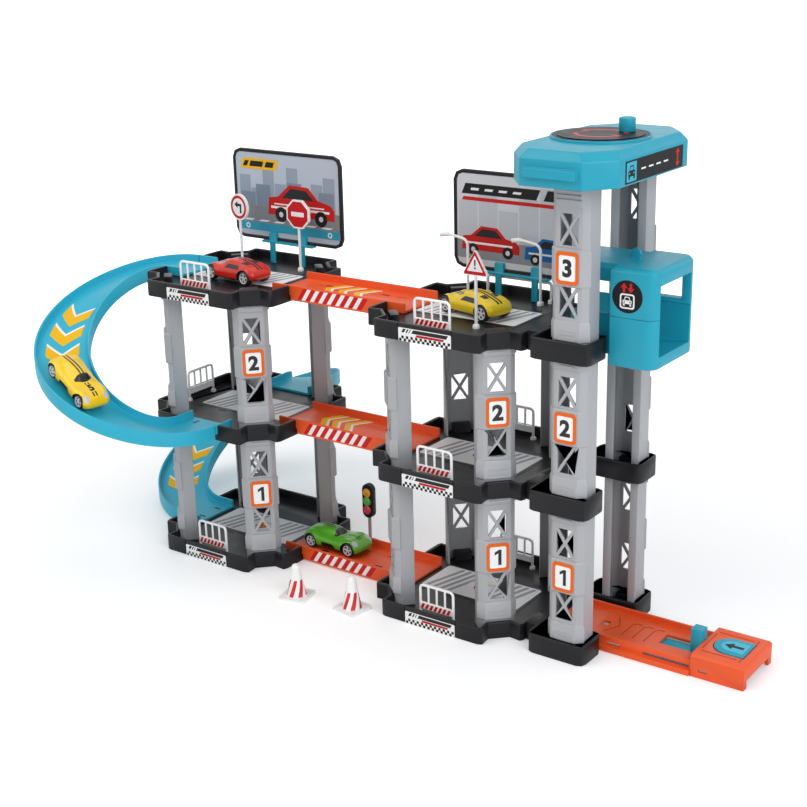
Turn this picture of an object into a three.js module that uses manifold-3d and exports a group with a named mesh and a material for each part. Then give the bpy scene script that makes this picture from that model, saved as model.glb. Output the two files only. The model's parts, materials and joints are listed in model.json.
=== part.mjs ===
// A toy parking garage: two towers of three decks, bridges between them, two spiral ramps,
// a crank lift with a hanging car, a spring launcher, and the cars and signs that go with them.
// Millimetres, +Z up, X along the bridges. The origin is under the middle of the whole toy.

import * as THREE from 'three';
import { mergeVertices } from 'three/addons/utils/BufferGeometryUtils.js';
import Module from 'manifold-3d';

const wasm = await Module();
wasm.setup();

// Fits
const restGap = 0.3; // between pieces that rest on each other
const slipGap = 0.5; // between pieces that slide into each other
const overrun = 1; // how far a cut runs past the face that it opens
const weld = 0.0001; // corners closer than this are one corner

// Towers
const towerPitch = 253;
const storey = 124;
const levelNames = ['ground', 'middle', 'top'];

// Decks
const deckHalf = 75;
const cornerCut = 26.5;
const cornerBevel = 1.9;
const rimHeight = 14.6;
const rimWall = 3.2;
const deckFloorTop = 5.6;
const deckSheet = 2;
const bayDepth = 8.1; // how far each cut corner dips in towards its column
const bayFlatHalf = 9;
const bayHalf = 15.5;
const baySpreadShare = 0.4; // how much wider the dip is on the inner face, per wall
const grooveWidth = 0.9;
const grooveDepth = 0.8;
const blockHalf = 8; // the block that a column's foot wraps round
const blockDepth = 7.2;
const blockDrop = 1; // how far it stays under the rim

// Channel pieces: bridges and ramps
const channelHalf = 25;
const channelWall = 2;
const channelSheet = 2;
const channelLap = 20; // how far a channel's end lies on a deck
const skirtLift = 1; // how far a skirt stays over the deck's underside
const slotLength = 9;
const slotWidth = 2.4;
const slotFromEnd = 28;
const slotSide = 12;
const rampRadius = 70;
const rampTurn = 1.5 * Math.PI;
const rampFlat = 21; // level stretch at each end of a ramp
const rampSteps = 18;

// Columns
const faceHalf = 10.4;
const flankRun = 5;
const columnDepth = 17;
const columnWall = 2;
const panelDrop = 0.8; // how far the panels between the bands lie back
const footTop = 31.5;
const bandBottom = 58.1;
const bandTop = 85.6;
const collarBottom = 117.6;
const windowWidth = 15;
const windowHeight = 23.6;
const windowFootGap = 2.6;
const windowBar = 2.5;

// Lift frames, and their columns
const trayLeft = -25.5;
const trayRight = 26.5;
const trayOuter = 62.5;
const trayInner = 29.5;
const trayHeight = 16.6;
const trayRound = 6;
const sillLeft = -35.5;
const sillHalf = 45; // trayLeft, trayRight and sillLeft are measured from the shaft's middle
const liftColumnX = 6;
const liftFaceInside = 5.2; // from a tray's outer side in to its column's face
const liftColumnDepth = 21;
const columnLip = 7;
const ridgeCount = 3;
const ridgePitch = 3.4;
const ridgeHeight = 1.5;

// Cap, crank and cord
const capX = 1.5;
const capHalfX = 43.5;
const capHalfY = 77;
const capCutX = 18;
const capCutY = 22;
const capSeat = 9; // from the third storey's end up to the cap's underside
const capHeight = 26.5;
const capShoulderDrop = 6.5;
const capBevel = 4.5;
const capWall = 3;
const capCeilingDrop = 9.2;
const capPocketDepth = 3.5;
const capRidgeHalf = 21.5;
const capRidgeLift = 7;
const capRidgeHeight = 7;
const capRidgeOut = 4;
const ringRadius = 37.5;
const ringHeight = 2;
const discRadius = 36;
const discProud = 2.5; // how far the disc's middle stands over the cap
const discEdge = 0.8;
const dishRadius = 31;
const drumRadius = 12;
const drumDrop = 2.3; // from the cap's ceiling down to the drum
const drumHeight = 10;
const flangeRadius = 15;
const flangeThick = 1.4;
const crankX = 13;
const crankY = 17;
const crankPinRadius = 2.6;
const crankPinRise = 6;
const knobRadius = 6.85;
const knobHeight = 10.5;
const knobBevel = 1.2;
const cordRadius = 0.8;
const cordX = 32; // from the shaft's middle
const cordBend = 4;
const cordSides = 8;
const cordSteps = 14;
const guideHalf = 6;
const guideReach = 5;
const guideHole = 2.6;
const guideLift = 2; // from the cap's underside up to the guide
const guideThick = 3;

// Lift car
const cabinLeft = 28.5;
const cabinRight = 66;
const cabinHalf = 34.5;
const cabinRound = 9;
const cabinDrop = 4.4; // how far the car hangs under the top level
const cabinHeight = 75.4;
const cabinBevel = 3;
const cabinSeamRise = 37.9;
const doorHalf = 25.6;
const doorSill = 8.9;
const doorRoof = 12.5;
const neckLeft = -23;
const neckHalf = 27.5;
const neckRound = 7;
const neckFloor = 3;
const neckSkirt = 13.5;
const neckRoof = 3;
const windowLeft = 36;
const windowRight = 58;
const windowSill = 3.5; // from the seam up to the side window
const sideWindowHeight = 18;
const hollowInset = 6;
const hollowDepth = 5;
const eyeRadius = 5;
const eyeHole = 2.6;
const eyeThick = 2.4;
const eyeRise = 3;

// Launcher, measured from the near end of its track
const trackLength = 126.9;
const trackHalf = 25;
const trackWall = 2.5;
const trackFloorTop = 10;
const trackSheet = 2.5;
const wallTop = 14.7;
const lipTop = 12;
const flangeTop = 4.5;
const entryFloor = 8;
const entryLength = 35;
const sideSlots = [[53, 65], [85, 125]];
const sideSlotBottom = 5;
const sideSlotTop = 7.3;
const coverSlot = [134, 141];
const floorSlot = [91, 130];
const floorSlotHalf = 8.2;
const latchHole = [36.5, 43];
const latchHoleHalf = 3.5;
const tongueLength = 12;
const tongueHalf = 20;
const coverEnd = 171.7;
const coverHalf = 27.5;
const coverWall = 2.5;
const coverTop = 19.3;
const coverBevel = 2;
const coverArch = 6.5;
const coverArchHalf = 21;
const buttonRound = 13;
const buttonTip = 135.7;
const buttonRoot = 164.2;
const buttonProud = 0.7;
const buttonGap = 0.7;
const pusherStart = 116.7;
const pusherLength = 10;
const pusherHalf = 5;
const pusherTop = 28.5;
const sliderStart = 89;
const sliderEnd = 141;
const sliderHalf = 7.4;
const sliderBottom = 4.6;
const springRadius = 3.2;
const springWire = 0.9;

// Fences, lamps and signs that plug into the decks
const fenceHalf = 17.7;
const fenceTop = 34.6;
const fenceBar = 2.2;
const fenceRound = 4;
const fenceInside = 11; // from the deck's side in to the fence's middle
const fenceBandTop = 17.6;
const fenceBandBottom = 12.1;
const fenceBars = 3;
const postRadius = 1.3;
const collarRadius = 2.6;
const collarHeight = 3;
const lampRise = 50.6;
const lampReach = 20;
const lampLift = 3;
const lampBend = 7;
const lampHeadLength = 8;
const lampHeadHalf = 1.7;
const lampHeadHeight = 1.4;
const lampSpots = [[27, 56.6], [-39, 47]];
const signPlate = 2.4;
const stopSpot = [25, 51];
const stopRise = 59;
const stopRadius = 14.3;
const roundSpot = [-40, 43];
const roundRise = 61;
const roundRadius = 12.5;
const roundTurn = -0.6;
const warnSpot = [19, -30];
const warnBottom = 48.5;
const warnTop = 69.5;
const warnHalf = 12;
const railHalf = 33;
const railInside = 8;
const railRise = 23;
const railRadius = 1.4;

// Billboards
const boardWidth = 130;
const boardHeight = 85.5;
const boardBottom = 27;
const boardRound = 9;
const boardThick = 3.4;
const boardInside = 10.2; // from the deck's side in to the board's front
const boardFrame = 3;
const boardRecess = 0.9;
const standHalf = 31;
const standReach = 3.3; // how far the stand's legs lie in front of the board
const standThick = 2;
const tabSink = 0.2; // how far a tab runs into the board
const standPost = 18;
const standPostHalf = 3;
const standTabHalf = 4.5;
const standTabTop = 35;

// Cars
const carLength = 62;
const carWidth = 29;
const carHeight = 19;
const wheelbase = 43;
const wheelRadius = 6.75;
const wheelWidth = 6;
const wheelInset = 0.5;
const wheelSides = 9;
const axleRadius = 1.2;
const archGap = 0.8;
const twistLift = 2.85; // how far a ramp's twist lifts a car that stands on two of its wheels
const rampCarShare = 0.62; // how far down its ramp the racing car is
const redSpot = [-1.6, -6.5]; // from the middle of the left tower
const redHeading = 3.05;
const yellowSpot = [-4.6, 4.7]; // from the middle of the right tower
const yellowHeading = 2.9;
const greenSpot = [-30, 1.5]; // from the middle of the lowest bridge
// Each station of a car's body from tail to nose: place, width, belly, waist, shoulder and roof.
const bodyShares = [
  [-0.5, 0.66, 0.26, 0.4, 0.5, 0.56],
  [-0.45, 0.88, 0.18, 0.42, 0.7, 0.76],
  [-0.34, 1, 0.16, 0.46, 0.84, 0.9],
  [-0.12, 0.94, 0.16, 0.4, 0.76, 1],
  [0.08, 0.93, 0.16, 0.4, 0.72, 0.98],
  [0.22, 0.97, 0.16, 0.42, 0.76, 0.82],
  [0.36, 1, 0.16, 0.44, 0.8, 0.84],
  [0.46, 0.86, 0.18, 0.36, 0.56, 0.6],
  [0.5, 0.64, 0.24, 0.32, 0.42, 0.44],
];
const bellyWidthShare = 0.86;
const shoulderWidthShare = 0.9;
const roofWidthShare = 0.56;

// Things that stand beside the garage
// Each cone's place along X from halfway between the towers, in front of the decks, and its turn.
const conePlaces = [[-8, 11, 0.2], [48, 4, -0.15]];
const coneBase = 25;
const coneBaseHeight = 2;
const coneHeight = 31;
const coneFoot = 8.6;
const coneTip = 3.2;
const coneDome = 1.6;
const coneSides = 12;
const trafficOut = 30; // from the left tower's side
const trafficBack = 15; // behind the lowest bridge
const trafficHeight = 61;
const trafficHeadHeight = 34;
const trafficHeadWidth = 14;
const trafficHeadDepth = 8;
const trafficBase = 9;
const trafficBaseHeight = 2;
const trafficLamp = 4.2;
const trafficLampOut = 1;

// Looks
const look = (color, roughness = 0.4) => new THREE.MeshStandardMaterial({ color, roughness, metalness: 0 });
const black = look(0x29292c, 0.42);
const grey = look(0xb4b6b9, 0.42);
const cyan = look(0x2ea7bd, 0.38);
const orange = look(0xee4f1b, 0.4);
const white = look(0xf1f1ef, 0.4);
const red = look(0xd7261a, 0.22);
const yellow = look(0xf3c70c, 0.24);
const green = look(0x4bae2a, 0.24);
const steel = look(0xa9adb2, 0.35);

// Sizes that follow from the ones above
const cornerDistance = (2 * deckHalf - cornerCut) / Math.SQRT2;
const bayDistance = cornerDistance - bayDepth;
const columnFace = bayDistance - rimWall - slipGap;
const columnBottom = deckFloorTop + restGap;
const columnTop = storey + deckFloorTop - deckSheet - restGap;
const channelBottom = deckFloorTop + restGap;
const channelFloor = channelBottom + channelSheet;
const gateHalf = channelHalf + slipGap;
const topLevel = storey * (levelNames.length - 1);
const mitreShare = Math.tan(Math.PI / 8);
const shaftX = towerPitch + deckHalf - sillLeft + slipGap;
const liftFaceDistance = trayOuter - liftFaceInside;
const launcherX = shaftX + trayLeft + restGap;
const capBottom = storey * levelNames.length + capSeat;
const capTop = capBottom + capHeight;
const capShoulder = capTop - capShoulderDrop;
const capCeiling = capTop - capCeilingDrop;
const capPocketFloor = capTop - capPocketDepth;
const capRidgeBottom = capBottom + capRidgeLift;
const discTop = capTop + discProud;
const knobTop = discTop + knobHeight;
const drumTop = capCeiling - drumDrop;
const drumBottom = drumTop - drumHeight;
const cordZ = (drumTop + drumBottom) / 2; // height of the hidden run to the drum
const guideBottom = capBottom + guideLift;
const guideTop = guideBottom + guideThick;
const cabinBottom = topLevel - cabinDrop;
const cabinTop = cabinBottom + cabinHeight;
const cabinSeam = cabinBottom + cabinSeamRise;
const doorBottom = cabinBottom + doorSill;
const doorTop = cabinTop - doorRoof;
const neckSkirtBottom = cabinTop - neckSkirt;
const windowBottom = cabinSeam + windowSill;
const windowTop = windowBottom + sideWindowHeight;
const flangeHalf = trayInner - slipGap;
const coverStart = trackLength + restGap;
const boardFront = deckHalf - boardInside;
const standFront = boardFront - standReach;

// A closed geometry as a solid that can be joined and cut. Geometry without normals is welded already.
function solid(geometry) {
  const bare = geometry.clone();
  const welded = !bare.hasAttribute('normal');
  bare.deleteAttribute('normal');
  bare.deleteAttribute('uv');
  const merged = welded ? bare : mergeVertices(bare, weld);
  const corners = merged.index.array;
  const kept = [];
  for (let i = 0; i < corners.length; i += 3) {
    const [a, b, c] = corners.slice(i, i + 3);
    if (a !== b && b !== c && c !== a) kept.push(a, b, c);
  }
  const vertProperties = new Float32Array(merged.attributes.position.array);
  return new wasm.Manifold(new wasm.Mesh({ numProp: 3, vertProperties, triVerts: new Uint32Array(kept) }));
}

const asSolid = (piece) => (piece.isBufferGeometry ? solid(piece) : piece);
const join = (...pieces) => pieces.map(asSolid).reduce((sum, piece) => sum.add(piece));
const cut = (base, ...tools) => tools.map(asSolid).reduce((rest, tool) => rest.subtract(tool), asSolid(base));

// The welded geometry of a joined or cut solid.
function skin(piece) {
  const mesh = asSolid(piece).getMesh();
  const geometry = new THREE.BufferGeometry();
  const corners = new Float32Array(mesh.vertProperties);
  geometry.setAttribute('position', new THREE.BufferAttribute(corners, mesh.numProp));
  geometry.setIndex(new THREE.BufferAttribute(new Uint32Array(mesh.triVerts), 1));
  return geometry;
}

function block([left, right], [front, back], [bottom, top]) {
  const box = new THREE.BoxGeometry(right - left, back - front, top - bottom);
  return box.translate((left + right) / 2, (front + back) / 2, (bottom + top) / 2);
}

// A round upright rod, or a cone where the two ends differ.
function rod(radius, [bottom, top], sides, topRadius = radius) {
  const cylinder = new THREE.CylinderGeometry(topRadius, radius, top - bottom, sides);
  return cylinder.rotateX(Math.PI / 2).translate(0, 0, (bottom + top) / 2);
}

// A plan outline raised between two heights.
function upright(outline, [bottom, top], curveSegments = 3) {
  const shape = Array.isArray(outline) ? new THREE.Shape(outline) : outline;
  const options = { depth: top - bottom, bevelEnabled: false, curveSegments };
  return new THREE.ExtrudeGeometry(shape, options).translate(0, 0, bottom);
}

// An outline drawn in X and Z, as a plate between two places along Y.
function plate(outline, [front, back], curveSegments = 3) {
  return upright(outline, [-back, -front], curveSegments).rotateX(Math.PI / 2);
}

// An outline drawn in Y and Z, run along X.
function alongX(outline, [left, right], curveSegments = 3) {
  return upright(outline, [left, right], curveSegments).rotateX(Math.PI / 2).rotateZ(Math.PI / 2);
}

function roundedRectangle([left, right], [bottom, top], round) {
  const quarter = Math.PI / 2;
  const shape = new THREE.Shape();
  shape.absarc(right - round, bottom + round, round, -quarter, 0);
  shape.absarc(right - round, top - round, round, 0, quarter);
  shape.absarc(left + round, top - round, round, quarter, Math.PI);
  shape.absarc(left + round, bottom + round, round, Math.PI, Math.PI + quarter);
  return shape;
}

// A closed solid through a row of like outlines; place(point, i) puts a point of outline i in space.
function loft(outlines, place) {
  const count = outlines[0].length;
  const positions = outlines.flatMap((outline, i) => outline.flatMap((point) => place(point, i).toArray()));
  const index = [];
  for (let i = 0; i + 1 < outlines.length; i += 1) {
    for (let j = 0; j < count; j += 1) {
      const next = (j + 1) % count;
      const [a, b] = [i * count + j, i * count + next];
      index.push(a, b, b + count, a, b + count, a + count);
    }
  }
  for (const [a, b, c] of THREE.ShapeUtils.triangulateShape(outlines[0], [])) index.push(c, b, a);
  const last = (outlines.length - 1) * count;
  for (const [a, b, c] of THREE.ShapeUtils.triangulateShape(outlines.at(-1), [])) {
    index.push(last + a, last + b, last + c);
  }
  const geometry = new THREE.BufferGeometry();
  geometry.setAttribute('position', new THREE.Float32BufferAttribute(positions, 3));
  geometry.setIndex(index);
  return geometry;
}

const vector = (x, y) => new THREE.Vector2(x, y);

// Decks

// A deck's outline, an octagon whose cut corners dip in round the columns.
function deckOutline(inset, bevel) {
  const half = deckHalf - inset;
  const distance = cornerDistance - inset;
  const cornerAcross = Math.SQRT2 * half - distance;
  const widen = inset * baySpreadShare;
  const bevelShare = Math.SQRT1_2;
  const side = [];
  if (bevel > 0) side.push([cornerAcross + bevel * bevelShare, distance - bevel * bevelShare]);
  side.push([cornerAcross - bevel, distance]);
  side.push([bayHalf + widen, distance], [bayFlatHalf + widen, distance - bayDepth]);
  const corner = [...side.map(([across, away]) => [-across, away]), ...side.toReversed()];
  const outline = [];
  for (let quarter = 0; quarter < 4; quarter += 1) {
    const angle = Math.PI / 4 + quarter * Math.PI / 2;
    for (const [across, away] of corner) {
      outline.push(vector(away, across).rotateAround(vector(0, 0), angle));
    }
  }
  return outline;
}

// The tray itself: rim, floor, the pocket underneath and four blocks for the columns' feet.
function deckTray() {
  const outer = upright(deckOutline(0, cornerBevel), [0, rimHeight]);
  const inner = upright(deckOutline(rimWall, 0), [deckFloorTop, rimHeight + overrun]);
  const pocketHalf = deckHalf - rimWall;
  const pocketShort = Math.SQRT2 * (bayDistance - rimWall) - pocketHalf;
  const pocket = [];
  for (let quarter = 0; quarter < 4; quarter += 1) {
    const angle = quarter * Math.PI / 2;
    pocket.push(vector(pocketHalf, -pocketShort).rotateAround(vector(0, 0), angle));
    pocket.push(vector(pocketHalf, pocketShort).rotateAround(vector(0, 0), angle));
  }
  const under = upright(pocket, [-overrun, deckFloorTop - deckSheet]);
  const blockFront = columnFace - columnWall - panelDrop - restGap;
  const blocks = [0, 1, 2, 3].map((quarter) => {
    const blockHeights = [deckFloorTop - deckSheet / 2, rimHeight - blockDrop];
    const foot = block([blockFront - blockDepth, blockFront], [-blockHalf, blockHalf], blockHeights);
    return foot.rotateZ(Math.PI / 4 + quarter * Math.PI / 2);
  });
  return join(cut(outer, inner, under), ...blocks);
}

// The angles of the four sides, from the middle of a deck.
const sideAngles = { right: 0, back: Math.PI / 2, left: Math.PI, front: -Math.PI / 2 };

// What a gate takes out of the rim: all of it where the gate is open, or two grooves beside its panel.
function gateCut(side, open) {
  const heights = [open ? deckFloorTop : -overrun, rimHeight + overrun];
  const reach = [deckHalf - rimWall - slipGap, deckHalf + overrun];
  if (open) return [block(reach, [-gateHalf, gateHalf], heights).rotateZ(sideAngles[side])];
  return [-1, 1].map((hand) => {
    const across = [hand * gateHalf - grooveWidth / 2, hand * gateHalf + grooveWidth / 2];
    return block([deckHalf - grooveDepth, deckHalf + overrun], across, heights).rotateZ(sideAngles[side]);
  });
}

// A barrier: a bent tube with bars over a board, standing on the floor inside one side's rim.
function fence(side) {
  const foot = deckFloorTop - deckSheet / 2;
  const outline = new THREE.Shape();
  outline.moveTo(-fenceHalf, foot);
  outline.lineTo(fenceHalf, foot);
  outline.absarc(fenceHalf - fenceRound, fenceTop - fenceRound, fenceRound, 0, Math.PI / 2);
  outline.absarc(fenceRound - fenceHalf, fenceTop - fenceRound, fenceRound, Math.PI / 2, Math.PI);
  const middle = deckHalf - fenceInside;
  const reach = [middle - fenceBar / 2, middle + fenceBar / 2];
  const through = [reach[0] - overrun, reach[1] + overrun];
  const between = [fenceBar - fenceHalf, fenceHalf - fenceBar];
  const under = block(between, through, [foot - overrun, fenceBandBottom]);
  const pitch = (2 * fenceHalf - fenceBar) / (fenceBars + 1);
  const holes = [];
  for (let i = 0; i <= fenceBars; i += 1) {
    const left = fenceBar - fenceHalf + i * pitch;
    holes.push(block([left, left + pitch - fenceBar], through, [fenceBandTop, fenceTop - fenceBar]));
  }
  const barrier = skin(cut(plate(outline, reach, 1), under, ...holes));
  return barrier.rotateZ(sideAngles[side] - Math.PI / 2);
}

// A thin post with a collar at its foot.
function post([x, y], top) {
  const foot = deckFloorTop - deckSheet / 2;
  const shaft = rod(postRadius, [foot, top], 6);
  const collar = rod(collarRadius, [foot, deckFloorTop + collarHeight], 6);
  return skin(join(shaft, collar)).translate(x, y, 0);
}

// A street lamp: a tube that bends over to the left at the top and ends in a flat head.
function lamp([x, y]) {
  const foot = new THREE.Vector3(x, y, deckFloorTop - deckSheet / 2);
  const elbow = new THREE.Vector3(x, y, lampRise);
  const start = new THREE.Vector3(x, y, lampRise - lampBend);
  const lean = new THREE.Vector3(-lampReach, 0, lampLift);
  const bendEnd = elbow.clone().addScaledVector(lean, lampBend / lampReach);
  const route = new THREE.CurvePath();
  route.add(new THREE.LineCurve3(foot, start));
  route.add(new THREE.QuadraticBezierCurve3(start, elbow, bendEnd));
  route.add(new THREE.LineCurve3(bendEnd, elbow.clone().add(lean)));
  const section = new THREE.Shape();
  section.absarc(0, 0, postRadius, 0, 2 * Math.PI);
  const tube = new THREE.ExtrudeGeometry(section, { extrudePath: route, steps: 12, curveSegments: 3 });
  const collar = rod(collarRadius, [foot.z, deckFloorTop + collarHeight], 6).translate(x, y, 0);
  const tip = [x - lampReach - lampHeadHeight, x - lampReach + lampHeadLength];
  const headTop = lampRise + lampLift + lampHeadHeight / 2;
  const head = block(tip, [y - lampHeadHalf, y + lampHeadHalf], [headTop - lampHeadHeight, headTop]);
  return join(tube, collar, head);
}

// A flat sign on a post, its face turned to the front.
function sign(spot, outline, rise, turn = 0) {
  const [x, y] = spot;
  const board = plate(outline, [-signPlate / 2, signPlate / 2], 4);
  return join(post(spot, rise), board.rotateZ(turn).translate(x, y, 0));
}

function polygon(radius, sides, rise) {
  const corners = [];
  for (let i = 0; i < sides; i += 1) {
    const angle = (i + 0.5) * 2 * Math.PI / sides;
    corners.push(vector(radius * Math.cos(angle), rise + radius * Math.sin(angle)));
  }
  return corners;
}

const signMakers = {
  stop: () => sign(stopSpot, polygon(stopRadius, 8, stopRise), stopRise),
  turn: () => sign(roundSpot, polygon(roundRadius, 16, roundRise), roundRise, roundTurn),
  warning: () => {
    const corners = [vector(-warnHalf, warnBottom), vector(warnHalf, warnBottom), vector(0, warnTop)];
    return sign(warnSpot, corners, (warnBottom + warnTop) / 2);
  },
  lamps: () => join(...lampSpots.map(lamp)),
  rail: () => {
    const bar = rod(railRadius, [-railHalf, railHalf], 8).rotateY(Math.PI / 2);
    const place = deckHalf - railInside;
    const posts = [-1, 1].map((hand) => post([hand * (railHalf - railRadius), place], railRise));
    return join(bar.translate(0, place, railRise), ...posts);
  },
};

// Columns

// A column's section: a channel with its face to the front and its flanks turned back at 45 degrees.
function columnOutline(distance, depth, lip) {
  const flank = flankRun - distance;
  const back = depth - distance;
  const side = faceHalf + flankRun;
  const mitre = columnWall * mitreShare;
  const half = [];
  if (lip > 0) half.push([side - lip, back - columnWall], [side - lip, back]);
  half.push([side, back], [side, flank], [faceHalf, -distance]);
  const inner = [[faceHalf - mitre, columnWall - distance + panelDrop]];
  inner.push([side - columnWall, flank + mitre + panelDrop]);
  inner.push([side - columnWall, lip > 0 ? back - columnWall : back]);
  const left = half.map(([x, y]) => vector(-x, y));
  const right = half.toReversed().map(([x, y]) => vector(x, y));
  const insideRight = inner.toReversed().map(([x, y]) => vector(x, y));
  const insideLeft = inner.map(([x, y]) => vector(-x, y));
  return [...left, ...right, ...insideRight, ...insideLeft];
}

// The four triangles that leave a cross of two bars in a window.
function windowCuts(distance, bottom) {
  const [a, c] = [windowWidth / 2, windowHeight / 2];
  const slant = Math.hypot(a, c) * windowBar / 2;
  const middle = bottom + c;
  const corners = [
    [[slant / c - a, c], [a - slant / c, c], [0, slant / a]],
    [[slant / c - a, -c], [a - slant / c, -c], [0, -slant / a]],
    [[-a, slant / a - c], [-a, c - slant / a], [-slant / c, 0]],
    [[a, slant / a - c], [a, c - slant / a], [slant / c, 0]],
  ];
  const reach = [-distance - overrun, columnWall + panelDrop + overrun - distance];
  return corners.map((triangle) => plate(triangle.map(([x, z]) => vector(x, middle + z)), reach));
}

// A column: the channel with two sunk panels in its face, and a crossed window in each of them.
function column({ distance, depth, lip, bottom, top, ridges }) {
  const shell = upright(columnOutline(distance, depth, lip), [bottom, top]);
  const side = faceHalf + flankRun;
  const panels = [[footTop, bandBottom], [bandTop, collarBottom]].map((heights) => (
    block([-side, side], [-distance - overrun, panelDrop - distance], heights)));
  const windows = [footTop, bandTop].flatMap((z) => windowCuts(distance, z + windowFootGap));
  const rings = [];
  for (let i = 1; i <= ridges; i += 1) {
    const z = collarBottom + i * ridgePitch;
    const out = [-distance - panelDrop, columnWall / 2 - distance];
    rings.push(block([-faceHalf, faceHalf], out, [z, z + ridgeHeight]));
  }
  return join(cut(shell, ...panels, ...windows), ...rings);
}

const towerColumn = {
  distance: columnFace, depth: columnDepth, lip: 0, bottom: columnBottom, top: columnTop, ridges: 0,
};
const liftColumn = { ...towerColumn, distance: liftFaceDistance, depth: liftColumnDepth, lip: columnLip };

// Bridges and ramps

// The section of every roadway: two walls, a floor between them and skirts below it.
function channelOutline(skirt) {
  const [outer, inner] = [channelHalf, channelHalf - channelWall];
  const feet = skirt ? skirtLift : channelBottom;
  const under = [[-inner, feet], [-inner, channelBottom], [inner, channelBottom], [inner, feet]];
  const lower = skirt ? under : [];
  const corners = [
    [-outer, feet], ...lower, [outer, feet], [outer, rimHeight], [inner, rimHeight],
    [inner, channelFloor], [-inner, channelFloor], [-inner, rimHeight], [-outer, rimHeight],
  ];
  return corners.map(([x, z]) => vector(x, z));
}

// Two pairs of slots through a roadway's floor, one pair at each end.
function bridgeSlots(left, right) {
  const middles = [left + slotFromEnd, right - slotFromEnd];
  return middles.flatMap((x) => [-1, 1].map((hand) => {
    const across = [hand * slotSide - slotWidth / 2, hand * slotSide + slotWidth / 2];
    const along = [x - slotLength / 2, x + slotLength / 2];
    return block(along, across, [channelBottom - overrun, channelFloor + overrun]);
  }));
}

function bridge() {
  const [left, right] = [deckHalf - channelLap, towerPitch - deckHalf + channelLap];
  const road = alongX(channelOutline(false), [left, right]);
  const span = [deckHalf + slipGap, towerPitch - deckHalf - slipGap];
  const skirts = alongX(channelOutline(true), span);
  return cut(join(road, skirts), ...bridgeSlots(left, right));
}

// Where a ramp's middle line is, a given way along it, and which way it heads there.
function rampLine(way) {
  const lead = rampRadius - deckHalf + channelLap;
  const arc = rampRadius * rampTurn;
  const total = 2 * lead + arc;
  const turned = THREE.MathUtils.clamp((way - lead) / rampRadius, 0, rampTurn);
  const straight = Math.min(way, lead) + Math.max(0, way - lead - arc);
  const heading = Math.PI + turned;
  const start = vector(channelLap - deckHalf, 0);
  const place = vector(-rampRadius, -rampRadius);
  place.add(vector(0, rampRadius).rotateAround(vector(0, 0), turned));
  if (way < lead) place.copy(start).add(vector(-straight, 0));
  if (way > lead + arc) place.add(vector(0, straight - lead));
  const fallen = THREE.MathUtils.smoothstep(way, rampFlat, total - rampFlat);
  return { place, heading, z: -storey * fallen, total, lead, arc };
}

// A ramp: three quarters of a turn, down one storey, with level ends that lie on two decks.
function ramp() {
  const { total, lead, arc } = rampLine(0);
  // Half steps at both ends keep the flat-sided bend within the gates.
  const step = arc / rampSteps;
  const ways = [0, lead, lead + step / 2];
  for (let i = 1; i < rampSteps; i += 1) ways.push(lead + i * step);
  ways.push(total - lead - step / 2, total - lead, total);
  const outlines = ways.map(() => channelOutline(true));
  const road = loft(outlines, (point, i) => {
    const { place, heading, z } = rampLine(ways[i]);
    const side = vector(-Math.sin(heading), Math.cos(heading)).multiplyScalar(point.x).add(place);
    return new THREE.Vector3(side.x, side.y, z + point.y);
  });
  const edge = deckHalf + slipGap;
  const across = [-channelHalf - overrun, channelHalf + overrun];
  const startCut = block([-edge, 0], across, [-overrun, channelBottom]);
  const endCut = block(across, [-edge, 0], [-storey - overrun, channelBottom - storey]);
  return cut(road, startCut, endCut);
}

// Lift: frames, cap, crank, cord and car

// A frame of the shaft: two trays for the columns and a sill that joins them beside the deck.
function liftFrame() {
  const trays = [-1, 1].map((hand) => {
    const reach = [hand * trayOuter, hand * trayInner].toSorted((a, b) => a - b);
    const outer = upright(roundedRectangle([trayLeft, trayRight], reach, trayRound), [0, trayHeight], 1);
    const inset = ([low, high]) => [low + rimWall, high - rimWall];
    const hollow = [inset([trayLeft, trayRight]), inset(reach)];
    const inner = block(...hollow, [deckFloorTop, trayHeight + overrun]);
    const under = block(...hollow, [-overrun, deckFloorTop - deckSheet]);
    const blockFront = liftFaceDistance - columnWall - panelDrop - restGap;
    const blockReach = [hand * blockFront, hand * (blockFront - blockDepth)].toSorted((a, b) => a - b);
    const blockAcross = [liftColumnX - blockHalf, liftColumnX + blockHalf];
    const foot = block(blockAcross, blockReach, [deckFloorTop - deckSheet / 2, rimHeight - blockDrop]);
    return join(cut(outer, inner, under), foot);
  });
  const sill = block([sillLeft, trayLeft + rimWall], [-sillHalf, sillHalf], [0, trayHeight]);
  const hollowReach = [-trayInner + rimWall, trayInner - rimWall];
  const under = block([sillLeft + rimWall, trayLeft], hollowReach, [-overrun, deckFloorTop - deckSheet]);
  const gate = block([sillLeft - overrun, trayLeft + rimWall + overrun], [-gateHalf, gateHalf],
    [deckFloorTop, trayHeight + overrun]);
  const shaft = block([trayLeft, trayRight], [-trayInner, trayInner], [-overrun, trayHeight + overrun]);
  return join(...trays, cut(sill, under, gate, shaft));
}

function capOutline(inset) {
  const [x, y] = [capHalfX - inset, capHalfY - inset];
  const [shortX, shortY] = [x - capCutX, y - capCutY];
  const corners = [
    [x, -shortY], [x, shortY], [shortX, y], [-shortX, y],
    [-x, shortY], [-x, -shortY], [-shortX, -y], [shortX, -y],
  ];
  return corners.map(([along, across]) => vector(capX + along, across));
}

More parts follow.
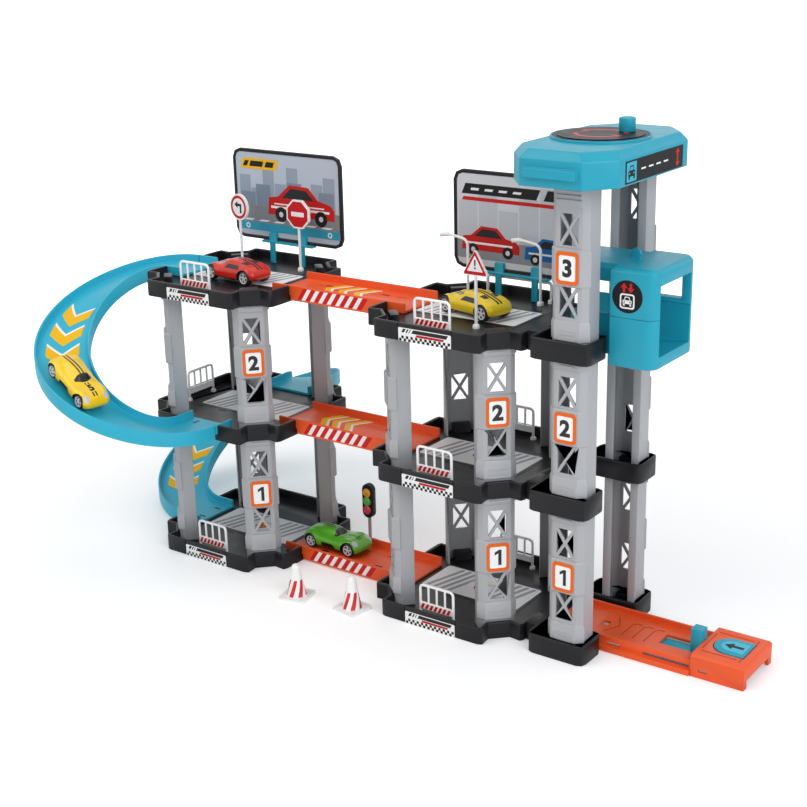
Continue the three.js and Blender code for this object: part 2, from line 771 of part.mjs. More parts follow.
// The cap over the shaft: a bevelled hood with a round seat for the crank and a guide for the cord.
function liftCap() {
  const rings = [[capBottom, 0], [capShoulder, 0], [capTop, capBevel]];
  const outlines = rings.map(([, inset]) => capOutline(inset));
  const hood = loft(outlines, (point, i) => new THREE.Vector3(point.x, point.y, rings[i][0]));
  const hollow = upright(capOutline(capWall), [capBottom - overrun, capCeiling]);
  const ring = rod(ringRadius, [capPocketFloor, capTop + ringHeight], 20);
  const seat = rod(discRadius + slipGap, [capPocketFloor, capTop + ringHeight + overrun], 20);
  const drumHole = rod(flangeRadius + slipGap, [capCeiling - overrun, capPocketFloor + overrun], 16);
  const ridge = block([-capRidgeHalf, capRidgeHalf], [-capHalfY - capRidgeOut, capWall - capHalfY],
    [capRidgeBottom, capRidgeBottom + capRidgeHeight]).translate(capX, 0, 0);
  const shelfReach = [cordX - guideReach, capX + capHalfX - capWall / 2];
  const shelf = block(shelfReach, [-guideHalf, guideHalf], [guideBottom, guideTop]);
  const hole = rod(guideHole, [guideBottom - overrun, guideTop + overrun], 8).translate(cordX, 0, 0);
  return cut(join(cut(hood, hollow), ring, ridge, shelf), seat, drumHole, hole);
}

// The crank: a dished disc, its drum underneath and the pin that the knob turns on.
function crankDisc() {
  const seat = capPocketFloor + restGap;
  const profile = [
    [0, drumBottom - flangeThick], [flangeRadius, drumBottom - flangeThick], [flangeRadius, drumBottom],
    [drumRadius, drumBottom], [drumRadius, drumTop], [flangeRadius, drumTop], [flangeRadius, seat],
    [discRadius, seat], [discRadius, discTop - discEdge], [dishRadius, discTop], [0, discTop],
  ];
  const disc = new THREE.LatheGeometry(profile.map(([r, z]) => vector(r, z)), 16).rotateX(Math.PI / 2);
  const pin = rod(crankPinRadius, [discTop - discEdge, discTop + crankPinRise], 8);
  return join(disc, pin.translate(crankX, crankY, 0));
}

function crankKnob() {
  const bore = crankPinRadius + restGap;
  const bottom = discTop + restGap;
  const boreTop = discTop + crankPinRise + restGap;
  const profile = [
    [bore, bottom], [knobRadius, bottom], [knobRadius, knobTop - knobBevel],
    [knobRadius - knobBevel, knobTop], [0, knobTop], [0, boreTop], [bore, boreTop], [bore, bottom],
  ];
  return new THREE.LatheGeometry(profile.map(([r, z]) => vector(r, z)), 12).rotateX(Math.PI / 2);
}

// The cord: up from the car's eye, through the guide, over to the side of the drum.
function liftCord() {
  const eyeTop = cabinTop + eyeRise + eyeRadius + restGap;
  const spread = Math.acos(drumRadius / cordX);
  const touch = drumRadius + cordRadius + restGap;
  const drumSide = new THREE.Vector3(touch * Math.cos(spread), touch * Math.sin(spread), cordZ);
  const corner = new THREE.Vector3(cordX, 0, cordZ);
  const bendStart = new THREE.Vector3(cordX, 0, cordZ - cordBend);
  const bendEnd = corner.clone().add(drumSide.clone().sub(corner).setLength(cordBend));
  const route = new THREE.CurvePath();
  route.add(new THREE.LineCurve3(new THREE.Vector3(cordX, 0, eyeTop), bendStart));
  route.add(new THREE.QuadraticBezierCurve3(bendStart, corner, bendEnd));
  route.add(new THREE.LineCurve3(bendEnd, drumSide));
  const section = [];
  for (let i = 0; i < cordSides; i += 1) {
    const angle = i * 2 * Math.PI / cordSides;
    section.push(vector(cordRadius * Math.cos(angle), cordRadius * Math.sin(angle)));
  }
  return new THREE.ExtrudeGeometry(new THREE.Shape(section), { extrudePath: route, steps: cordSteps });
}

// The plan of the car that hangs in the shaft: a cabin outside it and a neck that reaches to the deck.
function cabinOutline(inset) {
  const shape = new THREE.Shape();
  const [half, neck, right] = [cabinHalf - inset, neckHalf - inset, cabinRight - inset];
  const [round, small] = [cabinRound - inset, neckRound - inset];
  const quarter = Math.PI / 2;
  shape.moveTo(cabinLeft + inset, -neck);
  shape.lineTo(cabinLeft + inset, -half);
  shape.absarc(right - round, round - half, round, -quarter, 0);
  shape.absarc(right - round, half - round, round, 0, quarter);
  shape.lineTo(cabinLeft + inset, half);
  shape.lineTo(cabinLeft + inset, neck);
  shape.absarc(neckLeft + inset + small, neck - small, small, quarter, 2 * quarter);
  shape.absarc(neckLeft + inset + small, small - neck, small, 2 * quarter, 3 * quarter);
  return shape;
}

// The way through the car, from the neck's end to the door.
function passage(heights) {
  return block([neckLeft - overrun, cabinRight + overrun], [-doorHalf, doorHalf], heights);
}

function liftCarLower() {
  const body = upright(cabinOutline(0), [cabinBottom, cabinSeam - restGap / 2]);
  const road = passage([doorBottom, cabinSeam + overrun]);
  const neckUnder = block([neckLeft - overrun, cabinLeft], [-cabinHalf, cabinHalf],
    [cabinBottom - overrun, doorBottom - neckFloor]);
  const hollow = block([cabinLeft + hollowInset, cabinRight - hollowInset],
    [hollowInset - cabinHalf, cabinHalf - hollowInset], [cabinBottom - overrun, cabinBottom + hollowDepth]);
  return cut(body, road, neckUnder, hollow);
}

function liftCarUpper() {
  const shoulder = cabinTop - cabinBevel;
  const points = [0, cabinBevel].map((inset) => cabinOutline(inset).getPoints(2));
  const rings = [[cabinSeam + restGap / 2, 0], [shoulder, 0], [cabinTop, 1]];
  const outlines = rings.map(([, which]) => points[which]);
  const body = loft(outlines, (point, i) => new THREE.Vector3(point.x, point.y, rings[i][0]));
  const road = passage([cabinSeam - overrun, doorTop]);
  const neckSides = block([neckLeft - overrun, cabinLeft], [-cabinHalf, cabinHalf],
    [cabinSeam - overrun, neckSkirtBottom]);
  const neckHollow = block([neckLeft + neckRoof, cabinLeft], [-doorHalf, doorHalf],
    [neckSkirtBottom - overrun, cabinTop - neckRoof]);
  const opening = block([windowLeft, windowRight], [doorHalf - overrun, cabinHalf + overrun],
    [windowBottom, windowTop]);
  const eyeShape = roundedRectangle([-eyeRadius, eyeRadius], [-eyeRadius, eyeRadius], eyeRadius);
  const eyeHoleShape = new THREE.Path();
  eyeHoleShape.absarc(0, 0, eyeHole, 0, 2 * Math.PI);
  eyeShape.holes.push(eyeHoleShape);
  const eye = plate(eyeShape, [-eyeThick / 2, eyeThick / 2], 1).translate(cordX, 0, cabinTop + eyeRise);
  const below = block([cordX - eyeHole, cordX + eyeHole], [-eyeThick, eyeThick],
    [cabinTop - overrun, cabinTop]);
  return join(cut(body, road, neckSides, neckHollow, opening), eye, below);
}

// Launcher

function launcherTrack() {
  const [outer, inner] = [trackHalf, trackHalf - trackWall];
  const under = trackFloorTop - trackSheet;
  const section = [
    [-flangeHalf, 0], [-inner, 0], [-inner, under], [inner, under], [inner, 0], [flangeHalf, 0],
    [flangeHalf, flangeTop], [outer, flangeTop], [outer, wallTop], [inner, wallTop], [inner, trackFloorTop],
    [-inner, trackFloorTop], [-inner, lipTop], [-outer, lipTop], [-outer, flangeTop],
    [-flangeHalf, flangeTop],
  ];
  const run = alongX(section.map(([y, z]) => vector(y, z)), [0, trackLength]);
  const tongue = block([trackLength - overrun, trackLength + tongueLength], [-tongueHalf, tongueHalf],
    [under, trackFloorTop]);
  const wedge = [vector(-overrun, entryFloor), vector(entryLength, trackFloorTop),
    vector(entryLength, wallTop), vector(-overrun, wallTop)];
  const entry = plate(wedge, [-inner, inner]);
  const sides = sideSlots.map((reach) => block(reach, [-outer - overrun, outer + overrun],
    [sideSlotBottom, sideSlotTop]));
  const through = [under - overrun, trackFloorTop + overrun];
  const slot = block(floorSlot, [-floorSlotHalf, floorSlotHalf], through);
  const latch = block(latchHole, [-latchHoleHalf, latchHoleHalf], through);
  return cut(join(run, tongue), entry, slot, latch, ...sides);
}

// The tongue of the firing button, cut free in the cover on three sides.
function buttonOutline(grow) {
  const shape = new THREE.Shape();
  const quarter = Math.PI / 2;
  shape.moveTo(buttonRoot + grow, -buttonRound - grow);
  shape.lineTo(buttonRoot + grow, buttonRound + grow);
  shape.absarc(buttonTip + buttonRound, 0, buttonRound + grow, quarter, 3 * quarter);
  return shape;
}

function launcherCover() {
  const heights = [[0, 0], [coverTop - coverBevel, 0], [coverTop, coverBevel]];
  const outlines = heights.map(([, inset]) => [
    vector(coverStart, -coverHalf + inset), vector(coverEnd - inset, -coverHalf + inset),
    vector(coverEnd - inset, coverHalf - inset), vector(coverStart, coverHalf - inset),
  ]);
  const body = loft(outlines, (point, i) => new THREE.Vector3(point.x, point.y, heights[i][0]));
  const inside = [coverWall - coverHalf, coverHalf - coverWall];
  const ceiling = coverTop - coverWall;
  const hollow = block([coverStart - overrun, coverEnd - coverWall], inside, [-overrun, ceiling]);
  const arch = block([coverEnd - coverWall - overrun, coverEnd + overrun], [-coverArchHalf, coverArchHalf],
    [-overrun, coverArch]);
  const tongueHole = upright(buttonOutline(buttonGap), [ceiling - overrun, coverTop + overrun], 5);
  const side = block(coverSlot, [-coverHalf - overrun, coverHalf + overrun], [sideSlotBottom, sideSlotTop]);
  return cut(body, hollow, arch, tongueHole, side);
}

const launchButton = () => upright(buttonOutline(0), [coverTop - coverWall, coverTop + buttonProud], 5);

// The slider under the floor, with the pusher that stands up through the floor's slot.
function launchSlider() {
  const top = trackFloorTop - trackSheet - restGap;
  const base = block([sliderStart, sliderEnd], [-sliderHalf, sliderHalf], [sliderBottom, top]);
  const pusher = block([pusherStart, pusherStart + pusherLength], [-pusherHalf, pusherHalf],
    [sliderBottom, pusherTop]);
  return join(base, pusher);
}

// The spring behind the slider, pressed together: its outer shape only, since the cover hides it.
function launchSpring() {
  const [left, right] = [sliderEnd + restGap, coverEnd - coverWall - restGap];
  const core = springRadius - springWire;
  const profile = [[core, left], [springRadius, left], [springRadius, right], [core, right], [core, left]];
  const sleeve = new THREE.LatheGeometry(profile.map(([r, x]) => vector(r, x)), 10);
  return sleeve.rotateZ(-Math.PI / 2).translate(0, 0, (sliderBottom + trackFloorTop - trackSheet) / 2);
}

// Billboards, cars and loose pieces

// A billboard on its stand: a framed board, a rail with two clips and two legs down to the deck.
function billboard() {
  const heights = [boardBottom, boardBottom + boardHeight];
  const board = plate(roundedRectangle([-boardWidth / 2, boardWidth / 2], heights, boardRound),
    [boardFront, boardFront + boardThick], 1);
  const picture = roundedRectangle([boardFrame - boardWidth / 2, boardWidth / 2 - boardFrame],
    [heights[0] + boardFrame, heights[1] - boardFrame], boardRound - boardFrame);
  const recess = plate(picture, [boardFront - overrun, boardFront + boardRecess], 1);
  const rail = block([-standHalf, standHalf], [standFront, boardFront + boardThick],
    [boardBottom - standThick, boardBottom]);
  const legs = [-standPost, standPost].map((x) => block([x - standPostHalf, x + standPostHalf],
    [standFront, standFront + standThick], [deckFloorTop + restGap, boardBottom]));
  const tabs = [-standPost, standPost].map((x) => block([x - standTabHalf, x + standTabHalf],
    [boardFront - standThick, boardFront + boardRecess + tabSink], [boardBottom - standThick, standTabTop]));
  return join(cut(board, recess), rail, ...legs, ...tabs);
}

// A car's body with its nose to +X: lofted along its length, with wheel arches and slots for the axles.
function carBody() {
  const outlines = bodyShares.map(([, width, belly, waist, shoulder, roof]) => {
    const half = width * carWidth / 2;
    const [low, middle, high, top] = [belly, waist, shoulder, roof].map((share) => share * carHeight);
    const corners = [
      [half * bellyWidthShare, low], [half, middle], [half * shoulderWidthShare, high],
      [half * roofWidthShare, top],
    ];
    return [...corners, ...corners.toReversed().map(([y, z]) => [-y, z])].map(([y, z]) => vector(y, z));
  });
  const stations = bodyShares.map(([along]) => along * carLength);
  const body = loft(outlines, (point, i) => new THREE.Vector3(stations[i], point.x, point.y));
  const axles = [-wheelbase / 2, wheelbase / 2];
  const wide = carWidth / 2 + overrun;
  const inner = carWidth / 2 - wheelWidth - 2 * wheelInset;
  const arches = axles.flatMap((x) => [[-wide, -inner], [inner, wide]].map((reach) => (
    rod(wheelRadius + archGap, reach, wheelSides).rotateX(Math.PI / 2).translate(x, 0, wheelRadius))));
  const slot = axleRadius + restGap;
  const slots = axles.map((x) => block([x - slot, x + slot], [-wide, wide], [0, wheelRadius + slot]));
  return cut(body, ...arches, ...slots);
}

// Two wheels on their axle, lying along Y.
function carAxle() {
  const outer = carWidth / 2 - wheelInset;
  const inner = outer - wheelWidth;
  const profile = [
    [0, -outer], [wheelRadius, -outer], [wheelRadius, -inner], [axleRadius, -inner],
    [axleRadius, inner], [wheelRadius, inner], [wheelRadius, outer], [0, outer],
  ];
  return new THREE.LatheGeometry(profile.map(([r, y]) => vector(r, y)), wheelSides);
}

function cone() {
  const base = block([-coneBase / 2, coneBase / 2], [-coneBase / 2, coneBase / 2], [0, coneBaseHeight]);
  const profile = [
    [0, 0], [coneFoot, 0], [coneFoot, coneBaseHeight], [coneTip, coneHeight - coneDome],
    [coneTip / 2, coneHeight], [0, coneHeight],
  ];
  const body = new THREE.LatheGeometry(profile.map(([r, z]) => vector(r, z)), coneSides);
  return join(base, body.rotateX(Math.PI / 2));
}

function trafficLight() {
  const base = rod(trafficBase, [0, trafficBaseHeight], 12);
  const pole = rod(postRadius, [trafficBaseHeight / 2, trafficHeight - trafficHeadHeight / 2], 6);
  const half = trafficHeadWidth / 2;
  const heights = [trafficHeight - trafficHeadHeight, trafficHeight];
  const depths = [-trafficHeadDepth / 2, trafficHeadDepth / 2];
  const head = plate(roundedRectangle([-half, half], heights, half / 2), depths, 1);
  const pitch = trafficHeadHeight / 3;
  const lamps = [0.5, 1.5, 2.5].map((placeShare) => {
    const out = [0, trafficHeadDepth / 2 + trafficLampOut];
    return rod(trafficLamp, out, 6).rotateX(Math.PI / 2).translate(0, 0, trafficHeight - placeShare * pitch);
  });
  return join(base, pole, head, ...lamps);
}

// Putting the toy together

const garage = new THREE.Group();

function add(name, piece, material, parent = garage) {
  const flat = skin(piece).toNonIndexed();
  flat.computeVertexNormals();
  const mesh = new THREE.Mesh(flat, material);
  mesh.name = name;
  parent.add(mesh);
  return mesh;
}

function groupAt(x, y, z, turn = 0, parent = garage) {
  const group = new THREE.Group();
  group.position.set(x, y, z);
  group.rotation.z = turn;
  parent.add(group);
  return group;
}

// What each deck has: its open gates, its fences and what is plugged into it.
const decks = {
  left: [
    { open: ['left', 'right'], fences: ['front'], extras: [] },
    { open: ['front', 'back', 'right'], fences: ['left'], extras: [] },
    { open: ['left', 'right'], fences: ['front'], extras: ['stop', 'turn'] },
  ],
  right: [
    { open: ['left', 'right'], fences: ['front', 'back'], extras: [] },
    { open: ['left', 'right'], fences: ['front', 'back'], extras: [] },
    { open: ['left', 'right'], fences: ['front'], extras: ['warning', 'lamps', 'rail'] },
  ],
};

// The corners that a column stands in, as turns of a column whose face is to the front.
const cornerTurns = {
  front_left: -Math.PI / 4,
  front_right: Math.PI / 4,
  back_right: 3 * Math.PI / 4,
  back_left: -3 * Math.PI / 4,
};

const tray = deckTray();
const plainColumn = column(towerColumn);
const hiddenColumn = column({ ...towerColumn, bottom: deckFloorTop - deckSheet / 2 });

for (const [tower, levels] of Object.entries(decks)) {
  levels.forEach(({ open, fences, extras }, level) => {
    const place = groupAt(tower === 'left' ? 0 : towerPitch, 0, level * storey);
    const cuts = Object.keys(sideAngles).flatMap((side) => gateCut(side, open.includes(side)));
    const fitted = [...fences.map(fence), ...extras.map((extra) => signMakers[extra]())];
    const carriesColumns = level + 1 < levels.length;
    // The column in the corner that nobody sees is moulded in one with its deck.
    if (carriesColumns) {
      fitted.push(skin(hiddenColumn).rotateZ(cornerTurns.back_left));
    }
    add(`${tower}_deck_${levelNames[level]}`, join(cut(tray, ...cuts), ...fitted), black, place);
    if (!carriesColumns) return;
    for (const corner of ['front_left', 'front_right', 'back_right']) {
      const spot = groupAt(0, 0, 0, cornerTurns[corner], place);
      add(`${tower}_column_${levelNames[level]}_${corner}`, plainColumn, grey, spot);
    }
  });
}

const bridgeBody = bridge();
levelNames.forEach((name, level) => add(`bridge_${name}`, bridgeBody, orange, groupAt(0, 0, level * storey)));

const rampBody = ramp();
add('upper_ramp', rampBody, cyan, groupAt(0, 0, topLevel));
add('lower_ramp', rampBody, cyan, groupAt(0, 0, topLevel - storey, -Math.PI / 2));

const frameBody = liftFrame();
const topOfShaft = capCeiling - restGap - topLevel;
levelNames.forEach((name, level) => {
  const place = groupAt(shaftX, 0, level * storey);
  add(`lift_frame_${name}`, frameBody, black, place);
  const last = level + 1 === levelNames.length;
  const body = column(last ? { ...liftColumn, top: topOfShaft, ridges: ridgeCount } : liftColumn);
  const front = groupAt(liftColumnX, 0, 0, 0, place);
  add(`lift_column_${name}_front`, body, grey, front);
  const back = groupAt(liftColumnX, 0, 0, Math.PI, place);
  add(`lift_column_${name}_back`, body, grey, back);
});

const shaft = groupAt(shaftX, 0, 0);
add('lift_cap', liftCap(), cyan, shaft);
add('crank_disc', crankDisc(), black, shaft);
add('crank_knob', crankKnob(), cyan, groupAt(crankX, crankY, 0, 0, shaft));
add('lift_cord', liftCord(), white, shaft);
add('lift_car_lower', liftCarLower(), cyan, shaft);
add('lift_car_upper', liftCarUpper(), cyan, shaft);

const launcher = groupAt(launcherX, 0, 0);
add('launcher_track', launcherTrack(), orange, launcher);
add('launcher_cover', launcherCover(), orange, launcher);
add('launch_button', launchButton(), cyan, launcher);
add('launch_slider', launchSlider(), cyan, launcher);
add('launch_spring', launchSpring(), steel, launcher);

const boardBody = billboard();
add('left_billboard', boardBody, black, groupAt(0, 0, topLevel));
add('right_billboard', boardBody, black, groupAt(towerPitch, 0, topLevel));

// Where each car stands: its place, its heading and how far its nose points down.
const carWay = rampCarShare * rampLine(0).total;
const onRamp = rampLine(carWay);
const [behind, ahead] = [rampLine(carWay - wheelbase / 2), rampLine(carWay + wheelbase / 2)];
const carDip = Math.atan2(behind.z - ahead.z, wheelbase);
const deckTop = topLevel + deckFloorTop + restGap;
const cars = [
  { name: 'red_car', paint: red, spot: [...redSpot, deckTop], heading: redHeading, dip: 0 },
  {
    name: 'yellow_car', paint: yellow, heading: yellowHeading, dip: 0,
    spot: [towerPitch + yellowSpot[0], yellowSpot[1], deckTop],
  },
  {
    name: 'green_car', paint: green, heading: 0, dip: 0,
    spot: [towerPitch / 2 + greenSpot[0], greenSpot[1], channelFloor + restGap],
  },
  {
    name: 'racing_car', paint: yellow, heading: onRamp.heading, dip: carDip,
    spot: [onRamp.place.x, onRamp.place.y, topLevel + (behind.z + ahead.z) / 2 + channelFloor + twistLift],
  },
];
const carShell = carBody();
const axleBody = carAxle();
for (const { name, paint, spot, heading, dip } of cars) {
  const tilted = groupAt(0, 0, 0, 0, groupAt(...spot, heading));
  tilted.rotation.y = dip;
  add(`${name}_body`, carShell, paint, tilted);
  add(`${name}_front_axle`, axleBody, black, groupAt(wheelbase / 2, 0, wheelRadius, 0, tilted));
  add(`${name}_rear_axle`, axleBody, black, groupAt(-wheelbase / 2, 0, wheelRadius, 0, tilted));
}

conePlaces.forEach(([along, out, turn], i) => {
  add(`cone_${i + 1}`, cone(), red, groupAt(towerPitch / 2 + along, -deckHalf - out, 0, turn));
});
add('traffic_light', trafficLight(), black, groupAt(deckHalf + trafficOut, channelHalf + trafficBack, 0));

// The whole toy moves so that the origin is under the middle of its box.
const box = new THREE.Box3().setFromObject(garage);
const middle = box.getCenter(new THREE.Vector3());
garage.position.set(-middle.x, -middle.y, -box.min.z);
garage.updateMatrixWorld(true);

export default garage;
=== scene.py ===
"""A toy parking garage: two towers of three decks, bridges, spiral ramps, a crank lift and a launcher.

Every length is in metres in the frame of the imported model: X runs along the bridges, Z is up and the
front is towards -Y. Sizes are written in millimetres and multiplied by MM.
"""

import json
import math

import bmesh
import bpy
import numpy as np
from mathutils import Matrix, Vector


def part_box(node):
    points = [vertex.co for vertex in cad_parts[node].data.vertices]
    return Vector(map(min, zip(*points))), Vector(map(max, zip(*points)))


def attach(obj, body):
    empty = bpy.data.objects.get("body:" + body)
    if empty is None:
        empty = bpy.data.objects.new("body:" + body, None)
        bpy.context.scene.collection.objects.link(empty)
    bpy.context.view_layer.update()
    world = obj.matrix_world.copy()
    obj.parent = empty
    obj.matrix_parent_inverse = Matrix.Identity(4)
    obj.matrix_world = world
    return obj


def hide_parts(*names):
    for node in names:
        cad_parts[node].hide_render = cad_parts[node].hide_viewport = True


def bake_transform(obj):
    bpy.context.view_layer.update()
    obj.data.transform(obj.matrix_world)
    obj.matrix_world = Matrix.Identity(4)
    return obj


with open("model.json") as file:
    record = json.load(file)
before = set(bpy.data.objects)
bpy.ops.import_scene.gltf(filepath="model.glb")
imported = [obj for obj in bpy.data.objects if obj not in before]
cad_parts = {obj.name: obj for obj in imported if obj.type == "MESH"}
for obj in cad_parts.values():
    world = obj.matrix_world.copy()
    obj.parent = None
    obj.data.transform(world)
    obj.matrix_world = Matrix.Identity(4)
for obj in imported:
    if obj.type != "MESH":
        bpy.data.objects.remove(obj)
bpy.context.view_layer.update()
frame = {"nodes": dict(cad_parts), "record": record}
scene = bpy.context.scene

# Camera: a long lens in front of the garage and to its right, a little above it, looking down
# to the left, as the photograph was taken. It is turned 1.4 degrees about its own axis.
MM = 0.001
camera_data = bpy.data.cameras.new("camera")
camera_data.sensor_width = 36
camera_data.lens = 65.2
camera_data.clip_end = 20
camera = bpy.data.objects.new("camera", camera_data)
scene.collection.objects.link(camera)
azimuth, elevation, roll = math.radians(-36.04), math.radians(18.63), math.radians(-1.36)
forward = Vector((
    math.sin(azimuth) * math.cos(elevation), math.cos(azimuth) * math.cos(elevation), -math.sin(elevation)))
level_right = forward.cross(Vector((0, 0, 1))).normalized()
level_up = level_right.cross(forward)
camera_right = level_right * math.cos(roll) + level_up * math.sin(roll)
camera_up = level_up * math.cos(roll) - level_right * math.sin(roll)
camera.matrix_world = Matrix.Translation(Vector((711.45, -972.2, 569.9)) * MM) @ Matrix(
    (camera_right, camera_up, -forward)).transposed().to_4x4()
scene.camera = camera

# Floor, light and background: a white table under soft light from a big window above and to the
# left, a weaker one from the right, and white all round.
scene.view_settings.view_transform = "Standard"


def colour(code):
    """A colour given as six hex digits, as the linear RGBA that shaders use."""
    channels = np.array([int(code[i:i + 2], 16) / 255 for i in (0, 2, 4)])
    linear = np.where(channels <= 0.04045, channels / 12.92, ((channels + 0.055) / 1.055) ** 2.4)
    return (*linear.tolist(), 1.0)


def feed(tree, node, values):
    """Gives a node's sockets, by name or number, a constant or another node's output."""
    for socket, value in values.items():
        if isinstance(value, bpy.types.NodeSocket):
            tree.links.new(value, node.inputs[socket])
        else:
            node.inputs[socket].default_value = value


def add_node(tree, kind, values, **settings):
    """A shader node with these settings, whose sockets take constants or other nodes' outputs."""
    node = tree.nodes.new("ShaderNode" + kind)
    for setting, value in settings.items():
        setattr(node, setting, value)
    feed(tree, node, values)
    return node


def calculate(tree, operation, *values, clamp=False):
    """The outcome of a Math node on constants or other nodes' outputs."""
    return add_node(tree, "Math", dict(enumerate(values)), operation=operation, use_clamp=clamp).outputs[0]


def new_material(name):
    """A material, its node tree and its Principled shader."""
    material = bpy.data.materials.new(name)
    material.use_nodes = True
    return material, material.node_tree, material.node_tree.nodes["Principled BSDF"]


def grid_faces(rows, columns, ring=False):
    """The faces of a grid of rows x columns points, each row a closed loop.

    Each face joins a point with its neighbours in its row and the next. Caps close the first and last
    rows, or a ring joins the last row to the first.
    """
    i = np.arange(rows if ring else rows - 1)[:, None]
    j = np.arange(columns)[None, :]
    following, beside = (i + 1) % rows, (j + 1) % columns
    corners = np.stack(np.broadcast_arrays(
        i * columns + j, i * columns + beside, following * columns + beside, following * columns + j), -1)
    faces = corners.reshape(-1, 4).tolist()
    if not ring:
        faces += [list(range(columns))[::-1], list(range((rows - 1) * columns, rows * columns))]
    return faces


def worked(parts, weld):
    """A bmesh of parts, each (vertices, faces) or (vertices, faces, material index), turned outwards."""
    counts = np.cumsum([0] + [len(part[0]) for part in parts])
    faces = [[corner + int(start) for corner in face]
             for start, part in zip(counts, parts) for face in part[1]]
    indices = np.concatenate([np.full(len(part[1]), part[2] if len(part) > 2 else 0) for part in parts])
    mesh = bpy.data.meshes.new("rough")
    mesh.from_pydata(np.concatenate([part[0] for part in parts]).tolist(), [], faces)
    mesh.polygons.foreach_set("material_index", indices.astype(np.int32))
    work = bmesh.new()
    work.from_mesh(mesh)
    bpy.data.meshes.remove(mesh)
    if weld:
        bmesh.ops.remove_doubles(work, verts=work.verts, dist=1e-7)
    bmesh.ops.recalc_face_normals(work, faces=work.faces)
    return work


def finished(work, name, materials=()):
    """An object in the scene with a worked mesh, smooth shaded, and its materials."""
    mesh = bpy.data.meshes.new(name)
    work.to_mesh(mesh)
    work.free()
    mesh.polygons.foreach_set("use_smooth", np.ones(len(mesh.polygons), bool))
    for material in materials:
        mesh.materials.append(material)
    piece = bpy.data.objects.new(name, mesh)
    scene.collection.objects.link(piece)
    return piece


def mesh_piece(name, parts, materials, body="garage", smooth=35, replaces=(), weld=True):
    """A piece of closed parts on a body. Where parts meet, weld makes their corners one.

    Edges sharper than smooth degrees stay sharp.
    """
    piece = finished(worked(parts, weld), name, materials)
    piece.data.set_sharp_from_angle(angle=math.radians(smooth))
    if body:
        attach(piece, body)
    if replaces:
        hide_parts(*replaces)
    return piece


# Seen straight on, the table has a little light of its own, and more far off where the lamps are weak,
# so that it reads white to the horizon with soft shadows round the toy.
table_material, tree, shader = new_material("table")
grain = add_node(tree, "TexNoise", {"Scale": 60})
smears = add_node(tree, "MapRange", {"Value": grain.outputs["Fac"], "To Min": 0.55, "To Max": 0.7})
place, seen = add_node(tree, "TexCoord", {}), add_node(tree, "LightPath", {})
far = add_node(tree, "VectorMath", {0: place.outputs["Object"]}, operation="LENGTH")
growth = add_node(tree, "MapRange", {
    "Value": far.outputs["Value"], "From Min": 0.4, "From Max": 1.3, "To Min": 0.22, "To Max": 0.8})
glow = calculate(tree, "MULTIPLY", seen.outputs["Is Camera Ray"], growth.outputs[0])
feed(tree, shader, {
    "Roughness": smears.outputs[0], "Base Color": colour("fdfdfd"), "Emission Color": (1, 1, 1, 1),
    "Emission Strength": glow})
table_reach, table_thick = 40, 0.02
table_corners = np.array([
    (x * table_reach, y * table_reach, z) for z in (-table_thick, -0.0002)
    for x, y in ((-1, -1), (1, -1), (1, 1), (-1, 1))])
mesh_piece("table", [(table_corners, grid_faces(2, 4))], [table_material], None)

# Each light: its place, its width, its power and its warmth. All look at the toy's middle.
lights = {
    "window": ((-0.9, -1.3, 1.9), 1.6, 17, "fffaf4"),
    "fill": ((1.7, -0.7, 1.1), 1.4, 18, "f4f8ff"),
    "above": ((0.1, 0.5, 2.2), 1.8, 6, "ffffff"),
}
for light_name, (spot, width, power, tint) in lights.items():
    light_data = bpy.data.lights.new(light_name, "AREA")
    light_data.size = width
    light_data.energy = power
    light_data.color = colour(tint)[:3]
    light = bpy.data.objects.new(light_name, light_data)
    light.location = spot
    light.rotation_euler = (Vector((0, 0, 0.18)) - Vector(spot)).to_track_quat("-Z", "Y").to_euler()
    scene.collection.objects.link(light)

world = bpy.data.worlds.new("world")
world.use_nodes = True
scene.world = world
tree = world.node_tree
rays = add_node(tree, "LightPath", {}).outputs
straight = calculate(tree, "MAXIMUM", rays["Is Camera Ray"], rays["Is Transmission Ray"])
ambient = add_node(tree, "Background", {"Color": colour("f6f8fb"), "Strength": 0.5})
seen = tree.nodes["Background"]
feed(tree, seen, {"Color": (1, 1, 1, 1), "Strength": 1})
mixed = add_node(tree, "MixShader", {
    "Fac": calculate(tree, "MAXIMUM", straight, rays["Is Glossy Ray"]), 1: ambient.outputs[0],
    2: seen.outputs[0]})
feed(tree, tree.nodes["World Output"], {"Surface": mixed.outputs[0]})

# Decks: six black trays, injection moulded in satin polystyrene. A rounded rim runs round each,
# open where a bridge or a ramp comes in, and its four corners dip in to hold a column's foot.


def new_group(name, inputs, outputs):
    """A node group, its input node and its output node. Inputs and outputs are (name, kind, default)."""
    group = bpy.data.node_groups.new(name, "ShaderNodeTree")
    for way, sockets in (("INPUT", inputs), ("OUTPUT", outputs)):
        for socket_name, kind, default in sockets:
            socket = group.interface.new_socket(socket_name, in_out=way, socket_type="NodeSocket" + kind)
            if default is not None:
                socket.default_value = default
    return group, group.nodes.new("NodeGroupInput"), group.nodes.new("NodeGroupOutput")


